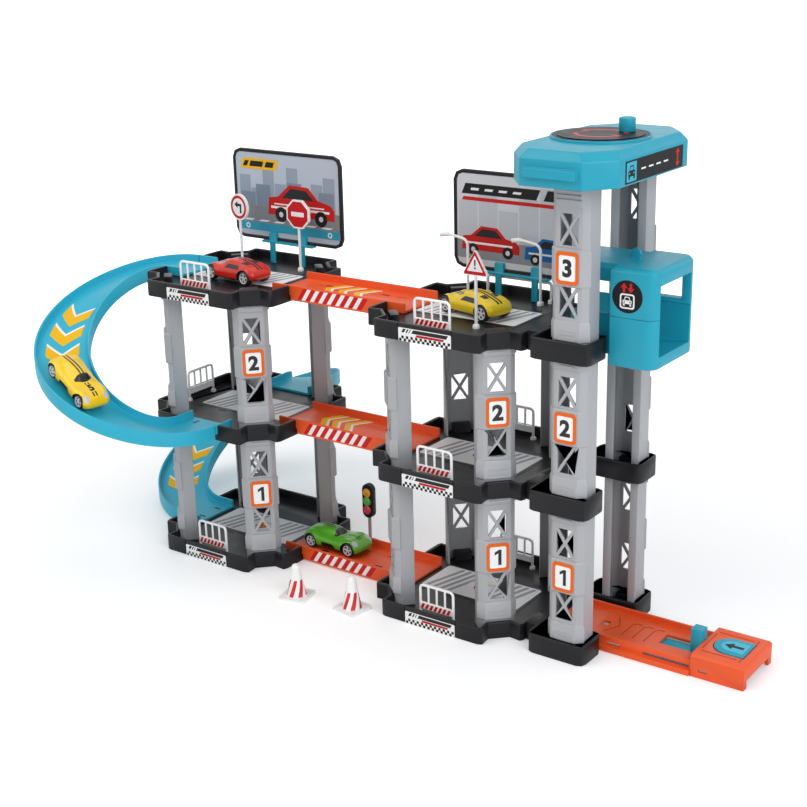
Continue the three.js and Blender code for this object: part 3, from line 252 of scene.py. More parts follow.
def moulded_group():
    """A node group for moulded plastic: a cloudy colour, a smeared roughness and a fine grain."""
    group, given, out = new_group("moulded_plastic", [
        ("Color", "Color", None), ("Roughness", "Float", 0.4), ("Cloud", "Float", 0.06),
        ("Grain", "Float", 0.12)], [
        ("Color", "Color", None), ("Roughness", "Float", None), ("Normal", "Vector", None)])
    given = given.outputs
    place = add_node(group, "TexCoord", {}).outputs["Object"]

    def noise(scale, detail):
        return add_node(group, "TexNoise", {"Scale": scale, "Detail": detail, "Vector": place}).outputs["Fac"]

    cloud = calculate(group, "MULTIPLY", calculate(group, "SUBTRACT", noise(28, 3), 0.5), given["Cloud"])
    shade = add_node(group, "HueSaturation", {
        "Value": calculate(group, "MULTIPLY_ADD", cloud, 2, 1), "Color": given["Color"]})
    smears = calculate(group, "SUBTRACT", noise(90, 4), 0.5)
    bump = add_node(group, "Bump", {
        "Distance": 0.00006, "Strength": given["Grain"], "Height": noise(1600, 2)})
    feed(group, out, {
        "Color": shade.outputs["Color"], "Normal": bump.outputs["Normal"],
        "Roughness": calculate(group, "MULTIPLY_ADD", smears, 0.22, given["Roughness"])})
    return group


moulded = moulded_group()


def mould(tree, shader, code, roughness, cloud, grain, specular, coat, coat_roughness=0.12):
    """Joins a shader to the moulded surface: code is six hex digits, or the socket that gives the colour."""
    surface = add_node(tree, "Group", {
        "Color": colour(code) if isinstance(code, str) else code, "Roughness": roughness, "Cloud": cloud,
        "Grain": grain}, node_tree=moulded)
    feed(tree, shader, {
        "Base Color": surface.outputs["Color"], "Roughness": surface.outputs["Roughness"],
        "Normal": surface.outputs["Normal"], "Specular IOR Level": specular, "Coat Weight": coat,
        "Coat Roughness": coat_roughness})


def plastic(name, code, roughness, cloud=0.06, grain=0.12, coat=0.0, specular=0.5):
    """A moulded plastic of one colour, or with no code of the colours in its mesh's attribute ink."""
    material, tree, shader = new_material(name)
    printed = code or add_node(tree, "Attribute", {}, attribute_name="ink").outputs["Color"]
    mould(tree, shader, printed, roughness, cloud, grain, specular, coat)
    return material


def moulded_copy(node, materials, pick=None, drop=None, edge=0.35, rounder=None, sharp=28):
    """A CAD node's shape as a moulded piece: corners welded, flat faces whole and edges rounded.

    Edges turn by more than sharp degrees before they are rounded, by edge millimetres or by what
    rounder gives for the middles of the edges. pick gives each face its material, and drop names the
    faces that other pieces stand for, both from the faces' middles.
    """
    def face_middles():
        return np.array([face.calc_center_median() for face in work.faces]) / MM

    work = bmesh.new()
    work.from_mesh(frame["nodes"][node].data)
    bmesh.ops.remove_doubles(work, verts=work.verts, dist=2e-5)
    if drop:
        gone = [face for face, other in zip(work.faces[:], drop(face_middles())) if other]
        bmesh.ops.delete(work, geom=gone, context="FACES")
        open_edges = [e for e in work.edges if e.is_boundary]
        bmesh.ops.holes_fill(work, edges=open_edges, sides=0)
    bmesh.ops.dissolve_limit(
        work, angle_limit=math.radians(0.4), verts=work.verts, edges=work.edges, delimit=set())
    bmesh.ops.recalc_face_normals(work, faces=work.faces)
    weights = work.edges.layers.float.new("bevel_weight_edge")
    corners = [e for e in work.edges if e.is_manifold and e.calc_face_angle(0) > math.radians(sharp)]
    middles = np.array([(e.verts[0].co + e.verts[1].co) / 2 for e in corners]) / MM
    widths = rounder(middles) if rounder else np.full(len(corners), edge)
    widest = float(widths.max())
    for corner, width in zip(corners, widths):
        corner[weights] = float(width) / widest
    if pick:
        for face, index in zip(work.faces, pick(face_middles())):
            face.material_index = int(index)
    piece = finished(work, node + "_moulded", materials)
    rounding = piece.modifiers.new("rounding", "BEVEL")
    rounding.limit_method = "WEIGHT"
    rounding.width = widest * MM
    rounding.segments = 2 if widest < 0.8 else 3
    rounding.use_clamp_overlap = False
    rounding.harden_normals = True
    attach(piece, next(body for body, nodes in bodies.items() if node in nodes))
    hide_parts(node)
    return piece


bodies = frame["record"]["behaviour"]["bodies"]
black = plastic("black_plastic", "1a1a1d", 0.34, cloud=0.1, specular=0.3)
grey = plastic("grey_plastic", "aeafb1", 0.42, cloud=0.05)
storey = 124
towers = {"left": -172.75, "right": 80.25}
levels = ["ground", "middle", "top"]
deck_half, rim_top, deck_floor, fence_y = 75, 14.6, 5.6, -64
# The sides of each deck that have a fence, and the feet on each top deck, of its signs first, then of
# its lamps and last of its rail.
fences = {
    "left": [["front"], ["left"], ["front"]],
    "right": [["front", "back"], ["front", "back"], ["front"]],
}
side_turns = {"front": 0, "right": 90, "back": 180, "left": 270}
feet = {
    "left": [(25, 51), (-40, 43)],
    "right": [(19, -30), (27, 56.6), (-39, 47), (-33, 67), (33, 67)],
}


def turned(points, degrees):
    """Points turned about Z, by one angle or one for each point."""
    c, s = np.cos(np.radians(degrees)), np.sin(np.radians(degrees))
    x, y = points[..., 0], points[..., 1]
    return np.stack([c * x - s * y, s * x + c * y, *np.moveaxis(points[..., 2:], -1, 0)], -1)


def rounder_at(height, near, elsewhere, reach=0.05):
    """How much edges are rounded, in millimetres: near where they are within reach of a height."""
    return lambda middles: np.where(abs(middles[:, 2] - height) < reach, near, elsewhere)


def moved(parts, turn, origin):
    """Parts turned about Z by degrees and then shifted by millimetres."""
    return [((turned(part[0] / MM, turn) + origin) * MM, *part[1:]) for part in parts]


def plugged(tower, level, middles):
    """The faces of what is plugged into a deck: all above its rim but its column, and the feet."""
    local = middles - (towers[tower], 0, level * storey)
    x, y, z = local.T
    column_there = (x < -36) & (y > 36) & (level < 2)
    gone = (z > rim_top + 0.6) & ~column_there
    for side in fences[tower][level]:
        at = turned(local, -side_turns[side])
        gone |= (abs(at[:, 0]) < 19) & (abs(at[:, 1] - fence_y) < 2.5) & (z > deck_floor + 0.1)
    for foot_x, foot_y in feet[tower] if level == 2 else ():
        gone |= (np.hypot(x - foot_x, y - foot_y) < 3) & (z > deck_floor + 0.1)
    return gone


decks = [(tower, centre, level, level_name, level * storey)
         for tower, centre in towers.items() for level, level_name in enumerate(levels)]
for tower, centre, level, level_name, base in decks:
    # The rim's top edges are rounder than the rest, and a column moulded in one with its deck is grey.
    moulded_copy(
        f"{tower}_deck_{level_name}", [black, grey], drop=lambda middles: plugged(tower, level, middles),
        pick=lambda middles: middles[:, 2] > base + rim_top + 0.3,
        rounder=rounder_at(base + rim_top, 1.1, 0.3))

# Deck stickers: printed vinyl on the floors and on the fronts of the closed gates. The floors' have
# slanted grey bars round a small badge, and the fronts' a bar over a chequered strip.


def flat(origin, right, up):
    """Places (u, v, w) on a flat face: u runs along right, v along up and w out of the face."""
    origin, right, up = (np.array(vector, float) for vector in (origin, right, up))
    out = np.cross(right, up)

    def place(u, v, w):
        return origin + np.multiply.outer(u, right) + np.multiply.outer(v, up) + np.multiply.outer(w, out)
    return place


def lying(x, y, z):
    """Places on a level face at height z: u runs along X and v along Y from (x, y)."""
    return flat((x, y, z), (1, 0, 0), (0, 1, 0))


def standing(x, y, z, turn=0, out=0):
    """Places on an upright face that looks to the front, or is turned from there by degrees.

    It lies out from (x, y, z), from where u runs to its right and v up.
    """
    right, ahead = turned(np.array([(1.0, 0, 0), (0, -1.0, 0)]), turn)
    return flat((x, y, z) + ahead * out, right, (0, 0, 1))


def rounded(width, height, radius, middle=(0, 0), steps=5):
    """The outline of a rectangle with round corners: four quarter circles, anticlockwise."""
    angles = np.radians(np.linspace(0, 90, steps + 1))
    arc = np.stack([np.cos(angles), np.sin(angles)], -1) * radius
    corner = np.array([width / 2 - radius, height / 2 - radius])
    quarters = [
        turned(arc, 90 * k) + corner * ((1, 1), (-1, 1), (-1, -1), (1, -1))[k] for k in range(4)]
    return np.concatenate(quarters) + middle


def circle(radius, middle=(0, 0), sides=28):
    """The outline of a regular polygon round a middle."""
    angles = np.arange(sides) * 2 * np.pi / sides
    return np.stack([np.cos(angles), np.sin(angles)], -1) * radius + middle


def slanted(left, bottom, width, height, slant):
    """The outline of a parallelogram whose top is shifted by slant."""
    return np.array([
        (left, bottom), (left + width, bottom), (left + width + slant, bottom + height),
        (left + slant, bottom + height)])


def prism(outline, low, high, place):
    """A closed slab between two heights over an outline of (u, v) points."""
    outline = np.asarray(outline, float)
    u, v = np.tile(outline, (2, 1)).T
    return place(u, v, np.repeat([low, high], len(outline))) * MM, grid_faces(2, len(outline))


def keep_points(piece, name, rows):
    """Keeps a row for each of a piece's points as an attribute: a colour if of four, a vector if of three."""
    kind, field = ("FLOAT_COLOR", "color") if rows.shape[1] == 4 else ("FLOAT_VECTOR", "vector")
    attribute = piece.data.attributes.new(name, kind, "POINT")
    attribute.data.foreach_set(field, rows.astype(np.float32).ravel())


ink_print = plastic("printed_vinyl", None, 0.4, cloud=0.03, grain=0.05, specular=0.2)


def print_piece(name, shapes, body="garage", material=ink_print):
    """A print of flat shapes, each (vertices, faces, colour code)."""
    piece = mesh_piece(name, [shape[:2] for shape in shapes], [material], body, smooth=20, weld=False)
    keep_points(piece, "ink", np.concatenate([
        np.tile(colour(code), (len(vertices), 1)) for vertices, _, code in shapes]))


def decal(name, place, layers, body="garage", thick=0.15):
    """A sticker: each layer is a colour and the outlines that are printed in it over those before."""
    print_piece(name, [
        (*prism(outline, -0.05, thick + 0.025 * level, place), code)
        for level, (code, outlines) in enumerate(layers) for outline in outlines], body)


# The side of a cell of the chequered strip: the dark ones lie low and high by turns.
cell = 2.2
front_label = [
    ("f4f4f2", [rounded(50, 11, 1)]),
    ("20201f", [slanted(x, 1.7, width, 3.1, 1.8) for x, width in ((-22, 2.6), (-18, 1.4), (-15.2, 0.8))]),
    ("2b2b2d", [slanted(-12.4, 1.7, 33, 3.1, 1.8)]),
    ("c4161c", [slanted(-8.4, -0.7, 26, 1.9, 1)]),
    ("18181a", [slanted(-24.2 + i * cell, -5.4 + i % 2 * cell, cell, cell, 0) for i in range(22)]),
]
# Dark prints of slots and grooves on the deck floors, which are not cut: painted shade in their hollows.
slots = [rounded(8, 2.6, 0.6, (x, y)) for x, y in
         ((-44, -29), (-16, -29), (12, -29), (40, -29), (-44, 28.5), (-16, 28.5), (40, 28.5))]
slots += [rounded(0.9, 62, 0.3, (51.5, 0)), rounded(92, 0.9, 0.3, (2, -26))]
bars = [slanted(x, -20.5, 3.6, 41, 12) for x in np.arange(-45, 30, 7.4)]
floor_label = [
    ("fafafa", [rounded(97, 45, 2.5)]),
    ("a8acb1", [bar for bar in bars if abs(bar[:, 0].mean()) > 14]),
    ("fafafa", [circle(13.5)]),
    ("c9281f", [circle(6.2, (0, -1))]),
    ("f3b91a", [circle(3.6, (0, -1)), slanted(-9, 6, 16, 2, 2)]),
    ("2c2c2e", [circle(1.5, (0, -1))]),
]
for tower, centre, level, level_name, base in decks:
    if (tower, level) != ("left", 1):
        decal(f"{tower}_front_label_{level_name}", standing(centre, -deck_half, base + 5.6), front_label)
    across, back = (-1.5, 7) if level < 2 else (-6, 12)
    place = lying(centre + across, back, base + deck_floor)
    decal(f"{tower}_floor_label_{level_name}", place, floor_label)
    # The slots' near-black is painted shade.
    decal(f"{tower}_floor_slot_shade_{level_name}", place, [("131314", slots)])

# Fences: white barriers of round tube with three uprights and a board of red and white stripes, each
# standing on small feet in sockets in the floor.


def unit(vectors):
    """Vectors at length 1."""
    return vectors / np.linalg.norm(vectors, axis=-1, keepdims=True)


def sweep(path, section, up=(0, 1, 0), level=False):
    """A section of (a, b) points along a path: a is to the side, square to the path and to up.

    The side is up crossed with the path's direction. b is square to the path and the side, or where
    the sections are kept level it runs along up.
    """
    path = np.asarray(path, float)
    along = unit(np.gradient(path, axis=0))
    side = unit(np.cross(np.broadcast_to(up, path.shape), along))
    rise = np.broadcast_to(up, path.shape) if level else np.cross(along, side)
    section = np.broadcast_to(np.asarray(section, float), (len(path), *np.shape(section)[-2:]))
    points = path[:, None] + section[..., :1] * side[:, None] + section[..., 1:] * rise[:, None]
    return points.reshape(-1, 3) * MM, grid_faces(len(path), section.shape[1])


def corner_arcs(before, corners, after, radius, steps):
    """Rounded corners: each is a quadratic curve between two points that lie radius from it."""
    starts, ends = corners + unit(before - corners) * radius, corners + unit(after - corners) * radius
    t = np.linspace(0, 1, steps)[None, :, None]
    arcs = (1 - t) ** 2 * starts[:, None] + 2 * t * (1 - t) * corners[:, None] + t ** 2 * ends[:, None]
    return arcs.reshape(-1, corners.shape[1])


def curve_through(points, radius, steps=6):
    """A path of straight runs with rounded corners."""
    points = np.asarray(points, float)
    return np.concatenate([
        points[:1], corner_arcs(points[:-2], points[1:-1], points[2:], radius, steps), points[-1:]])


def softened(outline, radius):
    """An outline with rounded corners."""
    outline = np.asarray(outline, float)
    return corner_arcs(np.roll(outline, 1, 0), outline, np.roll(outline, -1, 0), radius, 4)


def lathe(profile, sides, origin=(0, 0, 0), axis=2, ring=False):
    """A profile of (radius, height) points turned about an axis: 0 is X, 1 is Y and 2 is Z.

    It is capped at its ends, or a ring whose profile is a closed loop.
    """
    radii, heights = np.asarray(profile, float).T
    angles = np.arange(sides) * 2 * np.pi / sides
    round_a, round_b = np.multiply.outer(radii, np.cos(angles)), np.multiply.outer(radii, np.sin(angles))
    lift = np.broadcast_to(heights[:, None], round_a.shape)
    points = np.roll(np.stack([round_a, round_b, lift], -1), axis - 2, axis=-1).reshape(-1, 3)
    return (points + origin) * MM, grid_faces(len(radii), sides, ring)


white = plastic("white_plastic", "fafaf8", 0.36, cloud=0.02)
fence_half, fence_top, tube_radius = 17.7, 34.6, 1.15
board_middle, board_height, board_half_thick = 14.85, 5.5, 1.2
tube = circle(tube_radius, sides=12)
hoop_x, hoop_top = fence_half - tube_radius, fence_top - tube_radius
hoop = curve_through([(-hoop_x, fence_y, deck_floor), (-hoop_x, fence_y, hoop_top),
                      (hoop_x, fence_y, hoop_top), (hoop_x, fence_y, deck_floor)], 4)
socket_profile = [(0, 5.2), (2.6, 5.2), (2.6, 7.2), (1.9, 8.2), (1.4, 8.6), (0, 8.6)]
board = rounded(2 * fence_half - 2.4, board_height, 0.8, (0, board_middle))
fence_parts = [
    sweep(hoop, tube),
    *(sweep([(x, fence_y, 16.5), (x, fence_y, fence_top - 1)], circle(0.95, sides=10))
      for x in (-8.3, 0, 8.3)),
    *(lathe(socket_profile, 16, (x, fence_y, 0)) for x in (-hoop_x, hoop_x)),
    prism(board, -board_half_thick, board_half_thick, standing(0, fence_y, 0))]
board_print = [("f2f2f0", [rounded(32.4, 5.2, 0.5)]),
               ("cf1f1d", [slanted(x, -2.4, 2.6, 4.8, 2.4) for x in np.arange(-15.9, 12.5, 4.35)])]
for tower, centre, level, level_name, base in decks:
    for side in fences[tower][level]:
        turn = side_turns[side]
        mesh_piece(f"{tower}_fence_{level_name}_{side}", moved(fence_parts, turn, (centre, 0, base)),
                   [white], smooth=40)
        place = standing(centre, 0, base + board_middle, turn, board_half_thick - fence_y)
        decal(f"{tower}_fence_board_{level_name}_{side}", place, board_print)

# Signs and lamps on the top decks: white posts with small collars. The signs are red and white
# discs, plates and a triangle, and the lamps and the hand rail are bent from white rod.
top_floor = 2 * storey + deck_floor
post_section = circle(1.3, sides=12)
sign_face = plastic("sign_plastic", "fafaf8", 0.28, cloud=0.02)


def post_parts(x, y, top):
    """A round post on the floor of a top deck with the collar at its foot."""
    collar = [(0, -0.3), (2.9, -0.3), (2.9, 2), (2.3, 3), (0, 3)]
    return [sweep([(x, y, top_floor), (x, y, top)], post_section), lathe(collar, 18, (x, y, top_floor))]


def sign(name, tower, foot, rise, turn, outline, layers):
    """A sign on one of a tower's feet: a post, a plate of this outline round its middle, and its print."""
    x, y = feet[tower][foot]
    middle, half_thick = (towers[tower] + x, y, 2 * storey + rise), 1.2
    plate = prism(outline, -half_thick, half_thick, standing(*middle, turn))
    mesh_piece(name, [*post_parts(*middle), plate], [sign_face], smooth=40)
    decal(name + "_face", standing(*middle, turn, half_thick), layers, thick=0.1)


left, right = towers["left"], towers["right"]
eight = turned(circle(14.3, sides=8), 22.5)
sign("stop_sign", "left", 0, 59, 0, eight,
     [("c9161b", [eight * 0.89]), ("f4f4f2", [rounded(15, 4.2, 0.8)])])
arrow = np.array([
    (1.8, -5.5), (4.2, -5.5), (4.2, 3.4), (-1.2, 3.4), (-1.2, 5.6), (-5.6, 2.2), (-1.2, -1.2), (-1.2, 1),
    (1.8, 1)])
sign("turn_sign", "left", 1, 61, math.degrees(-0.15), circle(12.5, sides=40),
     [("c9161b", [circle(11, sides=40)]), ("f4f4f2", [circle(8.4, sides=40)]), ("1c1c1e", [arrow])])
triangle = np.array([(-12, -10.5), (12, -10.5), (0, 10.5)])
tri_out = softened(triangle, 2.2)
sign("warning_sign", "right", 0, 59, 0, tri_out,
     [("c9161b", [tri_out * 0.93]), ("f4f4f2", [softened(triangle * 0.62 - (0, 0.6), 1)]),
      ("1c1c1e", [slanted(-0.7, -2.6, 1.4, 5, 0), circle(0.85, (0, -4.4), 12)])])

for number, (foot_x, y) in enumerate(feet["right"][1:3], 1):
    x, top = right + foot_x, top_floor + 50.6
    arm = curve_through([(x, y, top_floor), (x, y, top), (x - 14, y, top + 2.4), (x - 20, y, top + 3)], 6)
    head = curve_through([(x - 19, y, top + 3), (x - 24, y, top + 2.4), (x - 28, y, top + 1.6)], 2)
    mesh_piece(f"lamp_{number}", post_parts(x, y, top_floor + 1) + [
        sweep(arm, circle(1.2, sides=12)), sweep(head, circle(1.9, sides=12) * (1, 0.7))],
        [white], smooth=50)

rail_high, rail_y = 2 * storey + 23, 67
ends = right - 31.6, right + 31.6
rail_run = curve_through([(ends[0], rail_y, rail_high - 10), (ends[0], rail_y, rail_high),
                          (ends[1], rail_y, rail_high), (ends[1], rail_y, rail_high - 10)], 3)
mesh_piece("hand_rail", [
    sweep(rail_run, circle(1.4, sides=12)),
    *(part for x in ends for part in post_parts(x, rail_y, rail_high - 6))], [white], smooth=50)

# Columns: light grey posts, moulded open at the back, with framed X windows. Each has a ribbed foot,
# a band with the floor's number plate and a collar that carries the next deck.
plate_print = plastic("plate_print", None, 0.34, cloud=0.03)


def as_evaluated(item):
    """The points and faces of an object as its modifiers or its font make them."""
    bpy.context.view_layer.update()
    mesh = item.evaluated_get(bpy.context.evaluated_depsgraph_get()).to_mesh()
    points = np.zeros(len(mesh.vertices) * 3)
    mesh.vertices.foreach_get("co", points)
    return points.reshape(-1, 3), [list(polygon.vertices) for polygon in mesh.polygons]


def digit(character, height):
    """The outline meshes of one character, flat and centred, height millimetres tall.

    The font's 1 is a bare bar, so a 1 is drawn here with its flag.
    """
    if character == "1":
        one = np.array([(0.01, -0.5), (0.21, -0.5), (0.21, 0.5), (0.05, 0.5), (-0.21, 0.33), (-0.21, 0.14),
                        (0.01, 0.27)])
        return one * height, [list(range(len(one)))]
    curve = bpy.data.curves.new("digit", "FONT")
    curve.body = character
    curve.align_x, curve.align_y = "CENTER", "CENTER"
    curve.offset = 0.045
    holder = bpy.data.objects.new("digit", curve)
    scene.collection.objects.link(holder)
    points, faces = as_evaluated(holder)
    bpy.data.objects.remove(holder)
    points = points[:, :2]
    low, high = points.min(0), points.max(0)
    return (points - (low + high) / 2) * height / (high[1] - low[1]), faces


def number_plate(name, character, place):
    """A plate with an orange frame, a white middle and a black number, with round corners."""
    decal(name, place, [
        ("ee6a1c", [rounded(18.6, 24.6, 3)]), ("fbfbfa", [rounded(13.6, 18.8, 1.6)])], thick=0.5)
    points, faces = digit(character, 13.6)
    lifted = place(*points.T, np.full(len(points), 0.56)) * MM
    print_piece(name + "_number", [(lifted, faces, "19191b")], material=plate_print)


def proud_blocks(name, place, collar):
    """A column's foot, band and collar, which stand proud of its sunk panels, with their bars and slot.

    Each is a block bent round the column's face and flanks, and its edges slope back to the column.
    """
    def block(low, high, top_slope=1.2):
        rings = []
        for z, out in ((low, 0), (low + 1.2, block_proud), (high - top_slope, block_proud), (high, 0)):
            half, edge = face_half + 0.41 * out, face_half + flank + out
            back = face_half + flank - 0.4
            u = np.array([-edge, -half, half, edge, back, face_half - 0.2, 0.2 - face_half, -back])
            w = np.array([-flank, out, out, -flank, -flank - 0.6, -0.6, -0.6, -flank - 0.6])
            rings.append(place(u, np.full(8, z), w))
        return np.concatenate(rings) * MM, grid_faces(4, 8)

    parts = [block(15.3, 31.5, 2.6), block(57.4, 86.3)]
    parts += [prism(rounded(15, 2.2, 0.9, (0, z), 3), -0.2, block_proud + 0.6, place) for z in (17.9, 22.5)]
    if collar:
        parts.append(block(117.4, 123.8))
        parts.append(prism(rounded(13, 1.8, 0.8, (0, 120.6), 3), -0.2, block_proud + 0.6, place))
    mesh_piece(name, parts, [grey], smooth=30)


def column(node, middle, level, turn, face, plated, collar=True):
    """A column's moulding, its proud blocks and its plate, on a face that lies turned round a middle."""
    moulded_copy(node, [grey], edge=0.4)
    base = level * storey
    proud_blocks(node + "_blocks", standing(middle, 0, base, turn, face), collar)
    if plated:
        number_plate(node + "_plate", str(level + 1),
                     standing(middle, 0, base + plate_middle, turn, face + block_proud))


# A column's face: half its width, its flanks' depth, how far its blocks stand proud, where its plate
# is, and how far it lies from the middle of a deck or of the shaft.
face_half, flank, block_proud, plate_middle, corner_face, lift_face = 10.4, 5, 1.1, 71.85, 75.53, 57.3
for tower, centre, level, level_name, base in decks:
    for corner, turn in (("front_left", -45), ("front_right", 45), ("back_right", 135)) if level < 2 else ():
        column(f"{tower}_column_{level_name}_{corner}", centre, level, turn, corner_face,
               corner == "front_right")

# Lift frames and their columns: three black rings of polystyrene, each with a tray at the front and the
# back that holds a deeper grey column. The columns carry a number plate at the front only.
shaft, tray_top = 191.25, 16.6
for level, level_name in enumerate(levels):
    moulded_copy(f"lift_frame_{level_name}", [black],
                 rounder=rounder_at(level * storey + tray_top, 1.1, 0.35))
    for end, turn in (("front", 0), ("back", 180)):
        column(f"lift_column_{level_name}_{end}", shaft + 6, level, turn, lift_face, end == "front",
               level < 2)

# Bridges: three orange channels that lie on the decks' rims. Each has a board of red and white stripes
# along its front, and the upper two have yellow arrowheads printed on the floor.
orange = plastic("orange_plastic", "f15c28", 0.38, cloud=0.06, specular=0.35)


def arrowhead(place, tip, middle, half, lean, width, low, high):
    """A bent band: at each place across it starts lean times the distance from its middle behind the tip."""
    across = np.linspace(-1, 1, 41) * half
    start = tip + lean * abs(across)
    along = np.linspace(0, 1, 5)
    u = start[:, None] + width * np.concatenate([along, along[::-1]])
    v = np.broadcast_to(across[:, None] + middle, u.shape)
    w = np.broadcast_to(np.repeat([low, high], 5), u.shape)
    return place(u.ravel(), v.ravel(), w.ravel()) * MM, grid_faces(len(across), 10)


def arrowheads(name, place, tips, middle, half, lean, width, trim=0.45):
    """Printed arrowheads, each a yellow band with a white one behind it."""
    trail = math.copysign(width, lean)
    print_piece(name, [
        (*arrowhead(place, start, middle, half, lean, wide, -0.05, 0.22), code) for tip in tips
        for start, wide, code in ((tip, trail, "f5bd12"), (tip + trail, trail * trim, "fbf6ea"))])


channel_floor = 7.9
# The holes in the floors of the bridges and at the feet of the ramps, 11 mm to either side. They are not cut:
# dark prints stand in for them, as painted shade.
hole_sides = (-11, 11)
bridge_tips = {"middle": (-91.2, -78.5, -64.2), "top": (-81, -65.7, -49)}
for level, level_name in enumerate(levels):
    base = level * storey
    moulded_copy(f"bridge_{level_name}", [orange], rounder=rounder_at(base + rim_top, 0.7, 0.3))
    decal(f"bridge_board_{level_name}", standing(-50.7, -25, base + 8), [
        ("cf1a18", [slanted(-38.5, -5.2, 70, 10.4, 7)]),
        ("f6f4f1", [slanted(x, -5.2, 4.2, 10.4, 7) for x in np.arange(-34, 30, 9.3)])])
    place = lying(0, 0, base + channel_floor)
    # Dark orange prints where the holes are: painted shade.
    decal(f"bridge_slot_shade_{level_name}", place, [
        ("471305", [rounded(8, 2.4, 0.8, (x, y)) for x in (-81.5, -20) for y in hole_sides])], thick=0.04)
    if level_name in bridge_tips:
        arrowheads(f"bridge_arrows_{level_name}", place, bridge_tips[level_name], 4.5, 16, 0.62, 6.4)

# Ramps: two cyan channels that turn three quarters of a circle down from one level of the left tower
# to the next, thin walled, with the same walls as the bridges and yellow arrowheads down the way.
cyan = plastic("cyan_plastic", "20a1b9", 0.36, cloud=0.05, specular=0.35)
ramp_cyan = plastic("ramp_plastic", "2fb4d0", 0.34, cloud=0.05, specular=0.35)
# A ramp's skirts stop short of its ends, which lie on the decks.
ramp_radius, ramp_lead, ramp_flat, ramp_gap = 70, 15, 21, 20.5
ramp_arc = ramp_radius * 1.5 * math.pi
ramp_length = ramp_arc + 2 * ramp_lead


def ramp_line(way):
    """Points of a ramp's middle line: straight, then an arc round a corner of the deck, then straight.

    It falls one storey by a smooth step that is level at its ends.
    """
    arc = np.clip(way - ramp_lead, 0, ramp_arc) / ramp_radius
    before, after = np.minimum(way, ramp_lead), np.maximum(way - ramp_lead - ramp_arc, 0)
    x = ramp_lead - before - ramp_radius * (1 + np.sin(arc))
    y = after - ramp_radius * (1 - np.cos(arc))
    t = np.clip((way - ramp_flat) / (ramp_length - 2 * ramp_flat), 0, 1)
    return np.stack([x, y, -storey * t * t * (3 - 2 * t)], -1)


def channel_section(skirt):
    """The outline of a channel: its floor, its walls and, below the floor, its skirts."""
    outer, inner, low = 25, 23, channel_floor - 2
    # The floor is in narrow strips: a wide face between two turned sections would stand off the floor.
    floor = [(x, channel_floor) for x in np.linspace(inner, -inner, 11)]
    foot = [(-outer, low), (outer, low)]
    if skirt:
        foot = [(-outer, 1), (-inner, 1), (-inner, low), (inner, low), (inner, 1), (outer, 1)]
    walls = [(outer, rim_top), (inner, rim_top), *floor, (-inner, rim_top), (-outer, rim_top)]
    return softened(foot + walls, 0.8)


for name, turn, top, tips in (
        ("upper_ramp", 0, 2 * storey, (150, 172, 194)), ("lower_ramp", -90, storey, (254, 276, 298))):
    corner = np.array((left, 0, top))
    stretches = [(0, ramp_gap, False), (ramp_gap, ramp_length - ramp_gap, True),
                 (ramp_length - ramp_gap, ramp_length, False)]
    parts = [sweep(ramp_line(np.linspace(start, end, 120 if skirt else 8)), channel_section(skirt),
                   (0, 0, 1), level=True) for start, end, skirt in stretches]
    mesh_piece(name + "_channel", moved(parts, turn, corner), [ramp_cyan], smooth=32, replaces=[name])

    def on_ramp(u, v, w):
        """Places (way, across, height over the floor) on this ramp."""
        path = ramp_line(u)
        side = unit(np.cross((0, 0, 1), (ramp_line(u + 0.5) - path) * (1, 1, 0)))
        points = path + side * v[:, None] + np.array((0, 0, 1.0)) * (w + channel_floor)[:, None]
        return turned(points, turn) + corner

    arrowheads(name + "_arrows", on_ramp, tips, 0, 15, -0.8, -11, trim=0.22)
    # Dark cyan prints where the ramp's holes are: painted shade, as the holes are not cut.
    decal(name + "_slots", on_ramp, [
        ("0d2f38", [rounded(8, 2.4, 0.8, (ramp_length - 9, v)) for v in hole_sides])], thick=0.04)

# Cap, crank and cord: a hollow cyan hood sits on the four lift columns. In a round seat on top lies the
# crank, a black disc with a knob, and the cord from the car runs over it to the drum underneath.
# The bevel round the top is softer than the edges below.
moulded_copy("lift_cap", [cyan], rounder=rounder_at(410, 1.0, 0.6, 10), sharp=20)
ring_profile = softened([(36.2, 404.2), (38, 404.2), (38, 409.4), (36.2, 409.4)], 0.7)
mesh_piece("crank_seat_ring", [lathe(ring_profile, 72, (shaft, 0, 0), ring=True)], [cyan])
# A car seen from the front: what is printed, and what is left out of it.
car_symbol = [
    np.array([(-2.9, 0.8), (2.9, 0.8), (2.1, 4), (-2.1, 4)]), rounded(8.4, 3.4, 1, (0, -0.6)),
    *(rounded(1.7, 2.4, 0.4, (x, -2.8)) for x in (-3, 3))]
car_gaps = [np.array([(-2, 1.2), (2, 1.2), (1.5, 3.2), (-1.5, 3.2)]),
            *(circle(0.65, (x, -0.5), 12) for x in (-2.7, 2.7))]
arrow_up = np.array([(-0.8, 0), (0.8, 0), (0.8, 3.4), (2.4, 3.4), (0, 6.8), (-2.4, 3.4), (-0.8, 3.4)])


def symbol_at(outlines, size, middle):
    """Outlines made larger or smaller, and then moved to a middle."""
    return [outline * size + middle for outline in outlines]


decal("cap_sign", standing(shaft, 0, 390.5, 90, 45), [
    ("17171a", [rounded(93, 16.4, 0.6)]),
    ("3db2cb", [rounded(15, 14, 1, (-37, 0))]),
    ("17171a", symbol_at(car_symbol, 1.25, (-37, -0.4))),
    ("3db2cb", symbol_at(car_gaps, 1.25, (-37, -0.4))),
    ("f4f4f2", [slanted(x, -0.6, 7, 1.2, 0) for x in (-22, -10, 2, 14)]),
    ("d3211d", [arrow_up * (1.4, 1) + (37, 0.2), arrow_up * (1.4, -1) + (37, -0.2)]),
])

